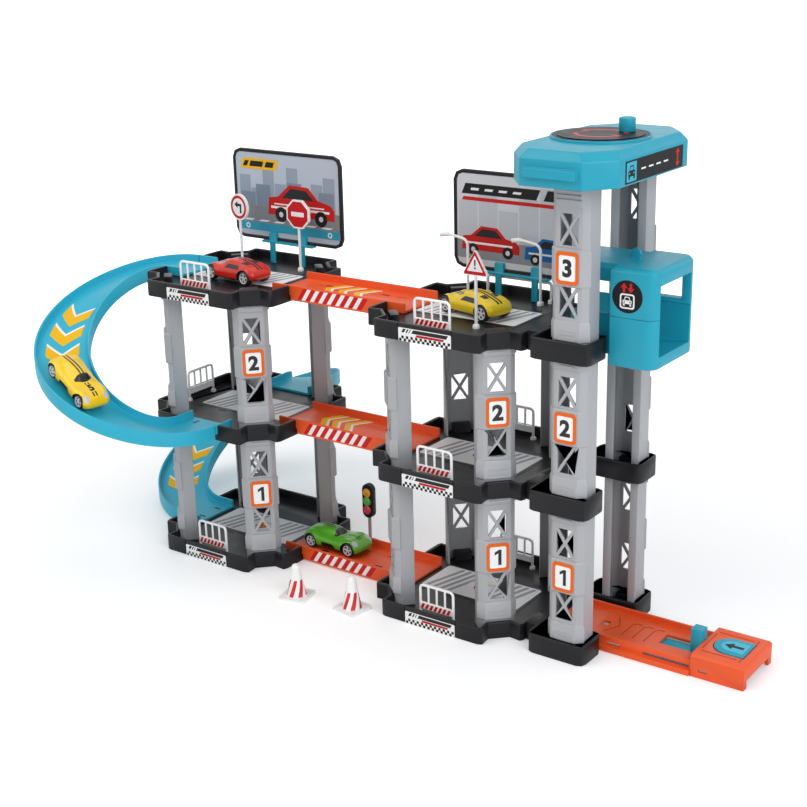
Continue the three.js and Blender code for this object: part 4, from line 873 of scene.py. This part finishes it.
disc_black = plastic("crank_plastic", "121214", 0.4, cloud=0.08, specular=0.2)
disc_top = 410
disc_profile = [
    (0, 384.6), (15, 384.6), (15, 386), (12, 386), (12, 396), (15, 396), (15, 404.3), (35.6, 404.3),
    (36, 404.7), (36, 408.8), (35.4, 409.3), (33.5, 409.5), (31, disc_top), (0, disc_top)]
pin_profile = [(0, 409), (2.6, 409), (2.6, 415.6), (2.2, 416), (0, 416)]
knob_spot = (shaft + 13, 17, 0)
mesh_piece("crank_disc_turned", [lathe(disc_profile, 72, (shaft, 0, 0)), lathe(pin_profile, 20, knob_spot)],
           [disc_black], "crank", smooth=30, replaces=["crank_disc"])


def arc_arrow(start, end, inner, outer):
    """A band of a circle from one angle to another in degrees, with a pointed head past its end."""
    angles = np.radians(np.linspace(start, end, 24))
    rays = np.stack([np.cos(angles), np.sin(angles)], -1)
    past = math.radians(end + math.copysign(24, end - start))
    middle = (inner + outer) / 2
    head = np.array([rays[-1] * (outer + 2.6), middle * np.array([math.cos(past), math.sin(past)]),
                     rays[-1] * (inner - 2.6)])
    return np.concatenate([rays * outer, head, rays[::-1] * inner])


decal("crank_print", lying(shaft, 0, disc_top), [
    ("0e0e10", [circle(33, sides=72)]),
    ("d3211d", [arc_arrow(20, 150, 17, 20.4), arc_arrow(200, 330, 17, 20.4)]),
], body="crank", thick=0.1)
knob_profile = [
    (2.9, 410.3), (6, 410.3), (6.3, 410.7), (6.3, 419.4), (6.1, 420.2), (5.6, 420.5), (4.9, 420.4),
    (4.4, 419.9), (0, 419.9), (0, 416.3), (2.9, 416.3)]
mesh_piece("crank_knob_turned", [lathe(knob_profile, 40, knob_spot, ring=True)], [cyan], "knob", smooth=40,
           replaces=["crank_knob"])

cord_grey = plastic("cord_fibre", "3a3836", 0.7, cloud=0.2, grain=0.6)
cord_x, eye_z, guide_z = shaft + 32, 327.3, 391
drum_side = np.array([shaft + 4.91, 12.14, guide_z])
bend = curve_through([(cord_x, 0, eye_z), (cord_x, 0, guide_z), drum_side], 4, 10)
cord_path = np.concatenate([
    np.linspace(bend[0], bend[1], 90, endpoint=False), bend[1:-1], np.linspace(bend[-2], bend[-1], 24)[1:]])
way = np.concatenate([[0], np.cumsum(np.linalg.norm(np.diff(cord_path, axis=0), axis=1))])
lay = np.linspace(0, 2 * np.pi, 15, endpoint=False)
# Three strands: the radius swells three times round the cord, and the swelling turns along it.
strand = 0.68 + 0.12 * np.cos(3 * (lay[None] - way[:, None] * 1.1))
twist = np.stack([strand * np.cos(lay), strand * np.sin(lay)], -1)
plane = unit(np.cross((0, 0, 1.0), drum_side - (cord_x, 0, guide_z)))
cord = mesh_piece("lift_cord_twisted", [sweep(cord_path, twist, plane)], [cord_grey], None, smooth=60,
                  replaces=["lift_cord"])
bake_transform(cord)

# Lift car: a cyan cabin in two halves that snap together at mid height. The cord's eye stands on its
# roof and a round printed sign is on its front. The seam's edges are sharper than the others.
for node in ("lift_car_lower", "lift_car_upper"):
    moulded_copy(node, [cyan], rounder=rounder_at(281.5, 0.3, 0.9, 0.4), sharp=24)
sign_middle = np.array((0, -3.4))
decal("car_sign", standing(234.35, -34.5, 298), [
    ("17171a", [circle(12.4, sides=48)]),
    ("f4f4f2", [rounded(12, 11.4, 2, sign_middle)]),
    ("17171a", [rounded(9.6, 9, 1.2, sign_middle)]),
    ("f4f4f2", symbol_at(car_symbol, 0.88, sign_middle)),
    ("17171a", symbol_at(car_gaps, 0.88, sign_middle)),
    ("d3211d", [arrow_up * (1.15, 1.05) + (-2.8, 3.1), arrow_up * (1.15, -1.05) + (2.8, 10.2)]),
], body="lift_car")

# Launcher: an orange track with a cover at its far end. A cyan slider with a pusher runs in its floor
# against a steel spring, and a cyan tongue in the cover lets it go.
launch_start = 166.05
# The track's wall tops are rounder than its slots, and the edges on the floor stay sharp.
moulded_copy("launcher_track", [orange], rounder=rounder_at(14.7, 0.7, 0.3))
moulded_copy("launcher_cover", [orange], rounder=rounder_at(0, 0, 0.45, 1))
moulded_copy("launch_button", [cyan], edge=0.3)
moulded_copy("launch_slider", [cyan], edge=0.7)
# The slider's rails show in the slots along the track's sides.
slider_rail = rounded(44, 2.8, 1.2, (107.5, 5.6))
mesh_piece("launch_slider_rails", [
    prism(slider_rail, -1.1, 1.1, standing(launch_start, y, 0)) for y in (-21.8, 21.8)], [cyan], "slider")


def grooves(name, place, outlines):
    """Fine moulded lines that stand a quarter of a millimetre proud, in a darker orange that is painted shade
    along them.
    """
    mesh_piece(name, [prism(outline, -0.1, 0.25, place) for outline in outlines], [line_shade_orange], smooth=30)


def line(*points, width=0.7):
    """The outline of a line of a given width through points, mitred at its corners."""
    points = np.asarray(points, float)
    along = unit(np.gradient(points, axis=0))
    side = np.stack([-along[:, 1], along[:, 0]], -1) * width / 2
    return np.concatenate([points + side, (points - side)[::-1]])


# The lines' darker orange is painted shade: track and cover are one orange, and the lines show by their
# shading.
line_shade_orange = plastic("orange_line_shade", "b23a12", 0.4, specular=0.3)
grooves("track_lines", lying(launch_start, 0, 10), [
    *(line((x, -13), (x, 8), (x + 3, 11), (x + 7, 11)) for x in (60, 70, 80)),
    line((45, -14), (52, 0), (45, 14))])
grooves("cover_lines", lying(launch_start + 148, 0, 19.3), [
    *(line((-16, y), (13, y)) for y in (-17.5, 17.5)), line((16, -20), (16, 20)),
    line((-17, -14), (-17, 14))])
button_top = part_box("launch_button")[1].z / MM
tongue = np.concatenate([circle(8.4, sides=36)[9:28], [(12, -8.4), (12, 8.4)]])
decal("button_print", lying(launch_start + 150, 0, button_top), [
    ("2f9fb8", [tongue * 1.12]), ("4fc3dc", [tongue]),
    ("17171a", [np.array([(-6.5, 0), (0.5, -5), (0.5, 5)]), slanted(0.5, -1.8, 9, 3.6, 0)]),
], body="button", thick=0.1)

steel = plastic("spring_steel", "a9adb2", 0.3, cloud=0.05)
feed(steel.node_tree, steel.node_tree.nodes["Principled BSDF"], {"Metallic": 1})
low, high = (np.array(corner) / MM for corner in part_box("launch_spring"))
t = np.linspace(0, 1, 240)
turns, coil_radius = t * 2 * np.pi * 9, 2.7
coil = np.stack([low[0] + 0.5 + t * (high[0] - low[0] - 1), coil_radius * np.cos(turns),
                 (low[2] + high[2]) / 2 + coil_radius * np.sin(turns)], -1)
mesh_piece("launch_spring_coil", [sweep(coil, circle(0.45, sides=8), (1, 0, 0))], [steel], smooth=60,
           replaces=["launch_spring"])

# Billboards: on each top deck a black board with a printed picture in its frame. Two tabs clip it to a
# cyan rail, whose two legs plug into the deck.


def side_car(left, bottom, length):
    """The outlines of a small car from the side: its body, its window and its two wheels."""
    unit_body = np.array([
        (0, 0.08), (1, 0.08), (1, 0.2), (0.94, 0.26), (0.76, 0.3), (0.62, 0.44), (0.34, 0.45), (0.16, 0.3),
        (0.02, 0.28)])
    unit_window = np.array([(0.22, 0.29), (0.7, 0.29), (0.59, 0.4), (0.36, 0.41)])
    wheels = [circle(0.09 * length, (left + x * length, bottom + 0.09 * length), 20) for x in (0.2, 0.8)]
    corner = (left, bottom)
    return unit_body * length + corner, unit_window * length + corner, wheels


def skyline(bottom, heights, width, left):
    """Plain blocks side by side, as a town seen from afar."""
    return [slanted(left + i * width, bottom, width * 0.94, height, 0) for i, height in enumerate(heights)]


picture = rounded(123.6, 79.1, 5.6)
big_body, big_window, big_wheels = side_car(-24, -24, 80)
red_body, red_window, red_wheels = side_car(-57, -31, 58)
blue_body, blue_window, blue_wheels = side_car(6, -33, 52)
pictures = {
    "left": [
        ("b9c3cf", [picture]),
        ("96a3b2", skyline(-12, (30, 18, 36, 24, 40, 15, 27, 34), 14.5, -58)),
        ("7e8c9d", skyline(-12, (14, 22, 11, 26, 12, 20), 19, -57)),
        ("85878b", [slanted(-61.6, -28, 123.2, 17, 0)]),
        ("eceef0", [slanted(x, -25.6, 11, 1.6, 4) for x in np.arange(-56, 50, 19)]),
        ("f0b71a", [slanted(-56, 24, 44, 10, 3)]),
        ("1b1b1d", [slanted(x, 26.4, width, 5.2, slant) for x, width, slant in
                    ((-53, 5, 3), (-45, 16, 2), (-26, 10, 2))]),
        ("c4211c", [big_body]), ("26282c", [big_window]),
        ("f4f4f2", [slanted(-20, -11.4, 70, 2.2, 0), slanted(-16, -7.6, 60, 1.2, 0)]),
        ("1d1d1f", big_wheels), ("d9dadc", [circle(2.6, wheel.mean(0), 16) for wheel in big_wheels]),
        ("2f9db8", [slanted(-61, -34.6, 122, 7.6, 0)]),
        ("f4f4f2", [circle(2.6, (x, -30.8), 20) for x in (-50, 50)]),
        ("2f9db8", [circle(1.5, (x, -30.8), 16) for x in (-50, 50)]),
    ],
    "right": [
        ("d5d9de", [picture]),
        ("c2c8cf", skyline(-18, (34, 46, 28, 40, 50, 30), 20.2, -60)),
        ("8e949c", [slanted(-61.6, -34, 123.2, 17, 0)]),
        ("1c1c1e", [slanted(-57, 22, 74, 9, 4), slanted(24, 22, 28, 9, 4)]),
        ("c8241e", [slanted(-57, 16.4, 108, 3.2, 2)]),
        ("f2f2f0", [slanted(x, 25.4, 8, 2, 1) for x in (-48, -34, -20, -6)]),
        ("c4211c", [red_body]), ("1f67a8", [blue_body]), ("26282c", [red_window, blue_window]),
        ("f4f4f2", [slanted(-52, -21, 46, 1.8, 0), slanted(10, -24, 42, 1.6, 0)]),
        ("1d1d1f", red_wheels + blue_wheels),
        ("d9dadc", [circle(2.2, wheel.mean(0), 16) for wheel in red_wheels + blue_wheels]),
    ],
}
for tower, centre in towers.items():
    # The rail and its tabs and legs are cyan, the board is black.
    moulded_copy(f"{tower}_billboard", [black, cyan], edge=0.5, pick=lambda middles: (
        (middles[:, 1] < 64.75) | (middles[:, 2] < 2 * storey + 26.95)))
    decal(f"{tower}_picture", standing(centre, 65.7, 2 * storey + 69.75), pictures[tower], thick=0.1)

# Cars: each is one moulded body in gloss enamel with printed stripes and windows, on two axles that
# clip in below. The wheels are black with a light rim and five spokes.


def marks_group(name, fields):
    """A node group: 1 where a place on a car, in millimetres from its middle, is in a printed field.

    A field is a list of (weights, low, high): the weighted sum of x, y, z, x squared and y squared, y
    without its sign, lies between low and high in each. The edges are a tenth of a millimetre soft.
    """
    group, given, out = new_group(name, [("Place", "Vector", None)], [("Mask", "Float", None)])
    split = add_node(group, "SeparateXYZ", {0: given.outputs[0]}).outputs

    def step(operation, *values, clamp=False):
        return calculate(group, operation, *values, clamp=clamp)

    x, y, z = split["X"], step("ABSOLUTE", split["Y"]), split["Z"]
    terms = {"x": x, "y": y, "z": z, "xx": step("MULTIPLY", x, x), "yy": step("MULTIPLY", y, y)}
    total = 0.0
    for field in fields:
        held = 1.0
        for weights, low, high in field:
            value = 0.0
            for term, weight in weights.items():
                value = step("MULTIPLY_ADD", terms[term], weight, value)
            scale = 9 / max(1, abs(weights.get("x", 0))) if "xx" in weights else 9
            for sign, limit in ((scale, low), (-scale, high)):
                if limit is not None:
                    edge = step("MULTIPLY_ADD", value, sign, 0.5 - sign * limit, clamp=True)
                    held = step("MINIMUM", held, edge)
        total = step("MAXIMUM", total, held)
    feed(group, out, {"Mask": total})
    return group


def oval(x, y, reach_x, reach_y):
    """The condition that a place seen from above is within an oval on either side."""
    a, b = 1 / reach_x ** 2, 1 / reach_y ** 2
    return ({"xx": a, "x": -2 * x * a, "yy": b, "y": -2 * y * b}, None, 1 - x * x * a - y * y * b)


above = ({"z": 1}, 8.2, None)
racer_dark = marks_group("racer_dark", [
    [({"y": 1}, 0.8, 2.4), ({"x": 1}, -30, 3.2), above],
    [({"y": 1}, 0.7, 2.2), ({"x": 1}, 22.4, 27), above],
    [({"y": 1}, 0.7, 2.2), ({"x": 1}, 10, 12.2), above],
    [({"x": 1, "yy": -0.02}, 1.6, None), ({"x": 1, "yy": 0.05}, None, 9), ({"y": 1}, None, 8.6), above],
    [({"x": 1}, -8, 7.5), ({"z": 1}, 5.2, 9.4), ({"x": 1, "z": 1.2}, None, 15.6)],
])
racer_silver = marks_group("racer_silver", [[oval(27.4, 9.8, 3, 2.6), above]])
coupe_dark = marks_group("coupe_dark", [
    [({"y": 1}, 0.8, 2.7), ({"x": 1}, -30, 29), above],
    [({"x": 1, "yy": 0.03}, 6.2, 12.6), ({"y": 1}, 3.3, 8.8), ({"z": 1}, 13.2, None)],
    [({"x": 1, "yy": -0.02}, -21.5, -15.5), ({"y": 1}, 3.3, 8.4), ({"z": 1}, 13.2, None)],
    [({"y": 1}, 8.6, None), ({"z": 1}, 13.7, 17), ({"x": 1, "z": 1.1}, None, 19.5),
     ({"x": 1, "z": -1}, -30, None)],
])
coupe_silver = marks_group("coupe_silver", [[oval(26.5, 10, 2.6, 2), above]])


def paint(name, code, dark, silver):
    """A gloss enamel with black and silver print, by the place on the car that its mesh holds."""
    material, tree, shader = new_material(name)
    place = add_node(tree, "Attribute", {}, attribute_name="place").outputs["Vector"]
    last = colour(code)
    for group, print_code in ((silver, "c9ccd0"), (dark, "141416")):
        marks = add_node(tree, "Group", {"Place": place}, node_tree=group)
        last = add_node(tree, "Mix", {"Factor": marks.outputs["Mask"], "A": last, "B": colour(print_code)},
                        data_type="RGBA").outputs["Result"]
    mould(tree, shader, last, 0.3, 0.04, 0.05, 0.35, 0.3, 0.06)
    return material


def smooth_through(x, table, column):
    """Values at x of a smooth curve through a table's column: cubic pieces with the points' own slopes."""
    xs, ys = table[:, 0], table[:, column]
    slopes = np.gradient(ys, xs)
    i = np.clip(np.searchsorted(xs, x) - 1, 0, len(xs) - 2)
    h = xs[i + 1] - xs[i]
    t = (x - xs[i]) / h
    return ((2 * t - 3) * t * t + 1) * ys[i] + ((t - 2) * t + 1) * t * h * slopes[i] \
        + (3 - 2 * t) * t * t * ys[i + 1] + (t - 1) * t * t * h * slopes[i + 1]


# Tables of x, half width, belly, deck and roof in millimetres from the tail to the nose.
car_end = 32.5
racer_table = np.array([
    (-car_end, 13, 4.2, 13, 13.6), (-28, 14.6, 3.2, 15.4, 16.6), (-21, 15.5, 2.9, 16.6, 18.4),
    (-12, 15.2, 2.9, 15.6, 20.2), (-4, 14.8, 2.9, 15, 20.6), (3, 14.7, 2.9, 14.8, 19.4),
    (9, 14.9, 2.9, 15, 15.7), (16, 15.3, 2.9, 15.8, 15.9), (22, 15.5, 2.9, 15.7, 15.8),
    (28, 14.6, 3, 14, 14.1), (car_end, 13.2, 3.8, 11.6, 11.7)])
coupe_table = np.array([
    (-car_end, 12.6, 4.4, 13.4, 13.8), (-28, 14.4, 3.4, 15.2, 15.8), (-21, 15.5, 3, 16, 17.8),
    (-12, 15.1, 2.9, 15, 20.2), (-4, 14.8, 2.9, 14.2, 20.6), (4, 14.8, 2.9, 13.9, 20),
    (10, 14.9, 2.9, 14, 17), (15, 15.2, 2.9, 14.6, 15.2), (22, 15.5, 3, 14.8, 14.9),
    (28, 14, 3.2, 12.8, 12.9), (car_end, 12.4, 4, 10.6, 10.7)])


# A body's waist is this share of the way up from its belly to its deck, and its sections are
# superellipses of this power.
waist, power = 0.42, 3.3


def crown(table, cabin_half, fender, x, y):
    """The height of a car's upper side at (x, y): a superellipse from the waist up to the deck.

    The cabin stands on it as a hump with steep sides, and soft ridges run over the wheels.
    """
    half, belly, deck, roof = (smooth_through(x, table, column) for column in (1, 2, 3, 4))
    middle = belly + (deck - belly) * waist
    bulge = np.maximum(1 - (abs(y) / half) ** power, 0) ** (1 / power)
    hump = (roof - deck) / (1 + (abs(y) / cabin_half) ** 6)
    along = np.exp(-((x - 21) / 6.5) ** 2) + np.exp(-((x + 21) / 7) ** 2)
    ridge = fender * along * np.exp(-((abs(y) - 10.6) / 2.6) ** 2)
    return middle + (deck - middle + ridge) * bulge + hump * np.minimum(bulge * 1.4, 1)


def car_shell(table, cabin_half, fender):
    """A car's closed outer shape, each row a section from the tail to the nose.

    Above the waist a section follows the crown, below it half a superellipse down to the belly, and
    towards both ends the sections draw in round the waist.
    """
    x = (car_end - 0.01) * np.sin(np.linspace(-np.pi / 2, np.pi / 2, 110))[:, None]
    half, belly, deck = (smooth_through(x, table, column) for column in (1, 2, 3))
    shrink = np.maximum(1 - abs(x / car_end) ** 14, 1e-5) ** 0.4
    spread = np.linspace(-np.pi / 2, np.pi / 2, 81)
    across = np.concatenate([np.sin(spread), np.sin(spread[1:-1])[::-1][::2]])
    upper = np.arange(len(across)) < len(spread)
    middle = belly + (deck - belly) * waist
    low = middle - (middle - belly) * (1 - abs(across) ** power) ** (1 / power)
    z = np.where(upper, crown(table, cabin_half, fender, x, half * across), low)
    z = middle + (z - middle) * shrink
    y = half * across * (0.5 + 0.5 * shrink)
    points = np.stack(np.broadcast_arrays(x, y, z), -1)
    return points.reshape(-1, 3), grid_faces(len(x), len(across))


def minus(vertices, faces, cuts):
    """The points and faces of a closed shape less others, each (vertices, faces)."""
    shape = finished(worked([(vertices, faces)], False), "shape")
    cutters = [finished(worked([cut], False), "cut") for cut in cuts]
    for cutter in cutters:
        taken = shape.modifiers.new("cut", "BOOLEAN")
        taken.operation, taken.solver, taken.object = "DIFFERENCE", "EXACT", cutter
    result = as_evaluated(shape)
    for used in (*cutters, shape):
        bpy.data.objects.remove(used)
    return result


def two_tone(vertices, faces, second):
    """A shape as two parts: its faces of material 0, and those named second of material 1."""
    return [(vertices, [face for face, other in zip(faces, second) if other == index], index)
            for index in (0, 1)]


axle_x, wheel_radius, wheel_mid, wheel_half = 21.5, 6.75, 11, 3


def car_wheels(x):
    """A pair of wheels on their axle at x, of tyre, rim and shade: each profile is turned about Y."""
    near, far = wheel_mid - wheel_half, wheel_mid + wheel_half
    tyre = [(0, near), (5.6, near), (6.35, near + 0.25), (6.7, near + 1), (wheel_radius, near + 3),
            (6.7, far - 1), (6.35, far - 0.3), (5.7, far), (4.9, far - 0.1), (4.6, far - 0.9), (0, far - 0.9)]
    rim = [(4.1, far - 0.85), (4.85, far - 0.85), (4.85, far - 0.05), (4.5, far), (4.1, far - 0.3)]
    hub = [(0, far - 0.95), (1.5, far - 0.95), (1.4, far - 0.15), (0, far - 0.05)]
    axle = [(0, -wheel_mid), (0.9, -wheel_mid), (0.9, wheel_mid), (0, wheel_mid)]
    spoke = np.array([(1, -0.62, 0), (4.4, -0.85, 0), (4.4, 0.85, 0), (1, 0.62, 0)])
    centre = (x, 0, wheel_radius)
    parts = [(*lathe(axle, 12, centre, axis=1), 2)]
    rounds = [(tyre, 36, False, 0), (rim, 36, True, 1), (hub, 16, False, 1)]
    for side in (-1, 1):
        parts += [(*lathe(np.array(profile) * (1, side), sides, centre, axis=1, ring=ring), index)
                  for profile, sides, ring, index in rounds]
        face = flat((x, side * far, wheel_radius), (-side, 0, 0), (0, 0, 1))
        parts += [(*prism(turned(spoke, turn)[:, :2], -0.9, -0.25, face), 1) for turn in range(18, 378, 72)]
    return parts


tyre_black = plastic("tyre_black", "1c1c1e", 0.55, cloud=0.08)
rim_white = plastic("rim_white", "dcdde0", 0.3, cloud=0.03)
shade_black = plastic("shade_black", "101012", 0.5, cloud=0.1)
# Each kind of body: its table, its cabin's half width, its ridges over the wheels and its prints.
kinds = {
    "racer": (racer_table, 7, 1.2, racer_dark, racer_silver),
    "coupe": (coupe_table, 10.2, 1.1, coupe_dark, coupe_silver),
}
# Four arches and two bores for the axles are cut from each body: from y to y, of a radius. Their
# faces and those of the belly, below the height belly_top, have the shade's black.
arch_radius, arch_start, bore_radius, belly_top = 7.6, 7.6, 1.3, 3.3
hollow_sizes = [
    (arch_start, 17, arch_radius, 40), (-17, -arch_start, arch_radius, 40), (-8, 8, bore_radius, 16)]
hollows = [lathe([(0, start), (radius, start), (radius, end), (0, end)], sides, (x, 0, wheel_radius), axis=1)
           for start, end, radius, sides in hollow_sizes for x in (-axle_x, axle_x)]
shells = {kind: minus(*car_shell(*shape), [(vertices / MM, faces) for vertices, faces in hollows])
          for kind, (*shape, _, _) in kinds.items()}
# Each car: its middle on the floor in millimetres, its heading and dip in radians, its paint, its kind.
cars = {
    "red_car": ((-174.35, -6.5, 253.9), 3.05, 0, "d8260f", "coupe"),
    "yellow_car": ((75.65, 4.7, 253.9), 2.9, 0, "f3cf12", "coupe"),
    "green_car": ((-76.25, 1.5, 8.2), 0, 0, "5cb82b", "racer"),
    "racing_car": ((-254.488, -139.009, 172.565), -0.16848, 0.49389, "fbd012", "racer"),
}
for car, (origin, heading, dip, code, kind) in cars.items():
    turn = np.array(Matrix.Rotation(heading, 3, "Z") @ Matrix.Rotation(dip, 3, "Y"))

    def on_car(points):
        """A car's own places in millimetres as places in the frame."""
        return (points @ turn.T + origin) * MM

    *shape, dark, silver = kinds[kind]
    vertices, faces = shells[kind]
    x, y, z = np.array([vertices[face].mean(0) for face in faces]).T
    from_axle = np.minimum(np.hypot(x - axle_x, z - wheel_radius), np.hypot(x + axle_x, z - wheel_radius))
    arch_wall = (abs(from_axle - arch_radius) < 0.08) & (abs(y) > arch_start - 0.1)
    arch_end = (from_axle < arch_radius) & (abs(abs(y) - arch_start) < 0.02)
    shaded = arch_wall | arch_end | (from_axle < bore_radius + 0.05) | (z < belly_top)
    materials = [paint(car + "_paint", code, dark, silver), shade_black]
    shell = mesh_piece(car + "_shell", two_tone(on_car(vertices), faces, shaded), materials, car, smooth=38,
                       replaces=bodies[car], weld=False)
    keep_points(shell, "place", np.tile(vertices, (2, 1)))
    if kind == "racer":
        points, faces = digit("5" if car == "racing_car" else "1", 8.4)
        x, y = 17.3 - points[:, 1], points[:, 0]
        printed = np.stack([x, y, crown(*shape, x, y) + 0.12], -1)
        print_piece(car + "_number", [(on_car(printed), faces, "141416")], car)
    for end, x in (("front", axle_x), ("rear", -axle_x)):
        body = f"{car}_{end}_wheels"
        parts = [(on_car(points / MM), faces, index) for points, faces, index in car_wheels(x)]
        mesh_piece(body + "_spoked", parts, [tyre_black, rim_white, shade_black], body, smooth=40,
                   replaces=bodies[body])

# Cones and traffic light: two hollow white cones with red stripes up their lower half and a square
# foot, and a black signal head with three lamps on a grey post with a round foot.
cone_white = plastic("cone_white", "fafaf8", 0.38, cloud=0.02)
cone_red = plastic("cone_red", "d2231f", 0.38, cloud=0.04)
cone_profile = [(8.6, 2), (8.3, 2.4), (7.35, 7.2), (6.4, 12.1), (5.45, 17), (3.9, 27), (3.55, 28.6),
                (2.9, 29.9), (1.6, 30.8), (0, 31)]
cone_sides, stripe_sides, striped_rings, lean_by = 60, 5, 4, 2.2
vertices, faces = lathe(cone_profile, cone_sides)
# The stripes lean: each ring is turned on by its height, up to where they end.
vertices = turned(vertices, np.clip(vertices[:, 2] / MM, 2.4, 17) * lean_by)
red = [len(face) == 4 and face[0] // cone_sides < striped_rings
       and face[0] % cone_sides // stripe_sides % 2 == 0 for face in faces]
cone_foot = prism(rounded(25, 25, 2.2), 0, 2, lying(0, 0, 0))
cone_parts = [*two_tone(vertices, faces, red), (*cone_foot, 0)]
for number, (x, y, turn) in enumerate(((-54.25, -86, 0.2), (1.75, -79, -0.15)), 1):
    mesh_piece(f"cone_{number}_turned", moved(cone_parts, math.degrees(turn), (x, y, 0)),
               [cone_white, cone_red], smooth=50, replaces=[f"cone_{number}"])

light_x, light_y, light_top, light_foot, head_half = -67.75, 40, 61, 27, 6
upper_end, lower_end = light_top - head_half, light_foot + head_half
stadium = np.concatenate([
    circle(head_half, (0, upper_end), 32)[:17], circle(head_half, (0, lower_end), 32)[16:],
    [(head_half, lower_end)]])
head_place = standing(light_x, light_y, 0)
middle = np.array((0, (light_top + light_foot) / 2))
head_steps = ((0.92, -3), (1, -2.4), (1, 2.6), (0.94, 3.2))
head_points = []
for grow, depth in head_steps:
    edge = (stadium - middle) * (grow, (grow - 1) * 0.4 + 1) + middle
    head_points.append(head_place(*edge.T, np.full(len(edge), depth)))
foot = [(0, 0), (9, 0), (9, 1.2), (8.4, 2), (3, 2.3), (2, 3.2), (1.6, 4.2), (1.6, 28), (0, 28)]
parts = [(np.concatenate(head_points) * MM, grid_faces(len(head_steps), len(stadium)), 0),
         (*lathe(foot, 40, (light_x, light_y, 0)), 1)]
rim = [(3.4, 3.1), (4.3, 3.1), (4.3, 4), (3.9, 4.2), (3.4, 3.6)]
lens = [(0, 3.1), (3.5, 3.1), (3.4, 3.5), (2.2, 3.9), (0, 4.1)]
for index, height in enumerate((52.6, 44, 35.4), 2):
    for profile in (rim, lens):
        points, faces = lathe(profile, 32, ring=profile is rim)
        u, v, w = points.T / MM
        parts.append((head_place(u, v + height, w) * MM, faces, index))
lamps = [plastic(f"lamp_{name}", code, 0.25, coat=0.5) for name, code in (
    ("yellow", "fbb427"), ("green", "62c94f"), ("red", "ec4a63"))]
mesh_piece("traffic_light_lamps", parts, [black, grey, *lamps], smooth=40, replaces=["traffic_light"])
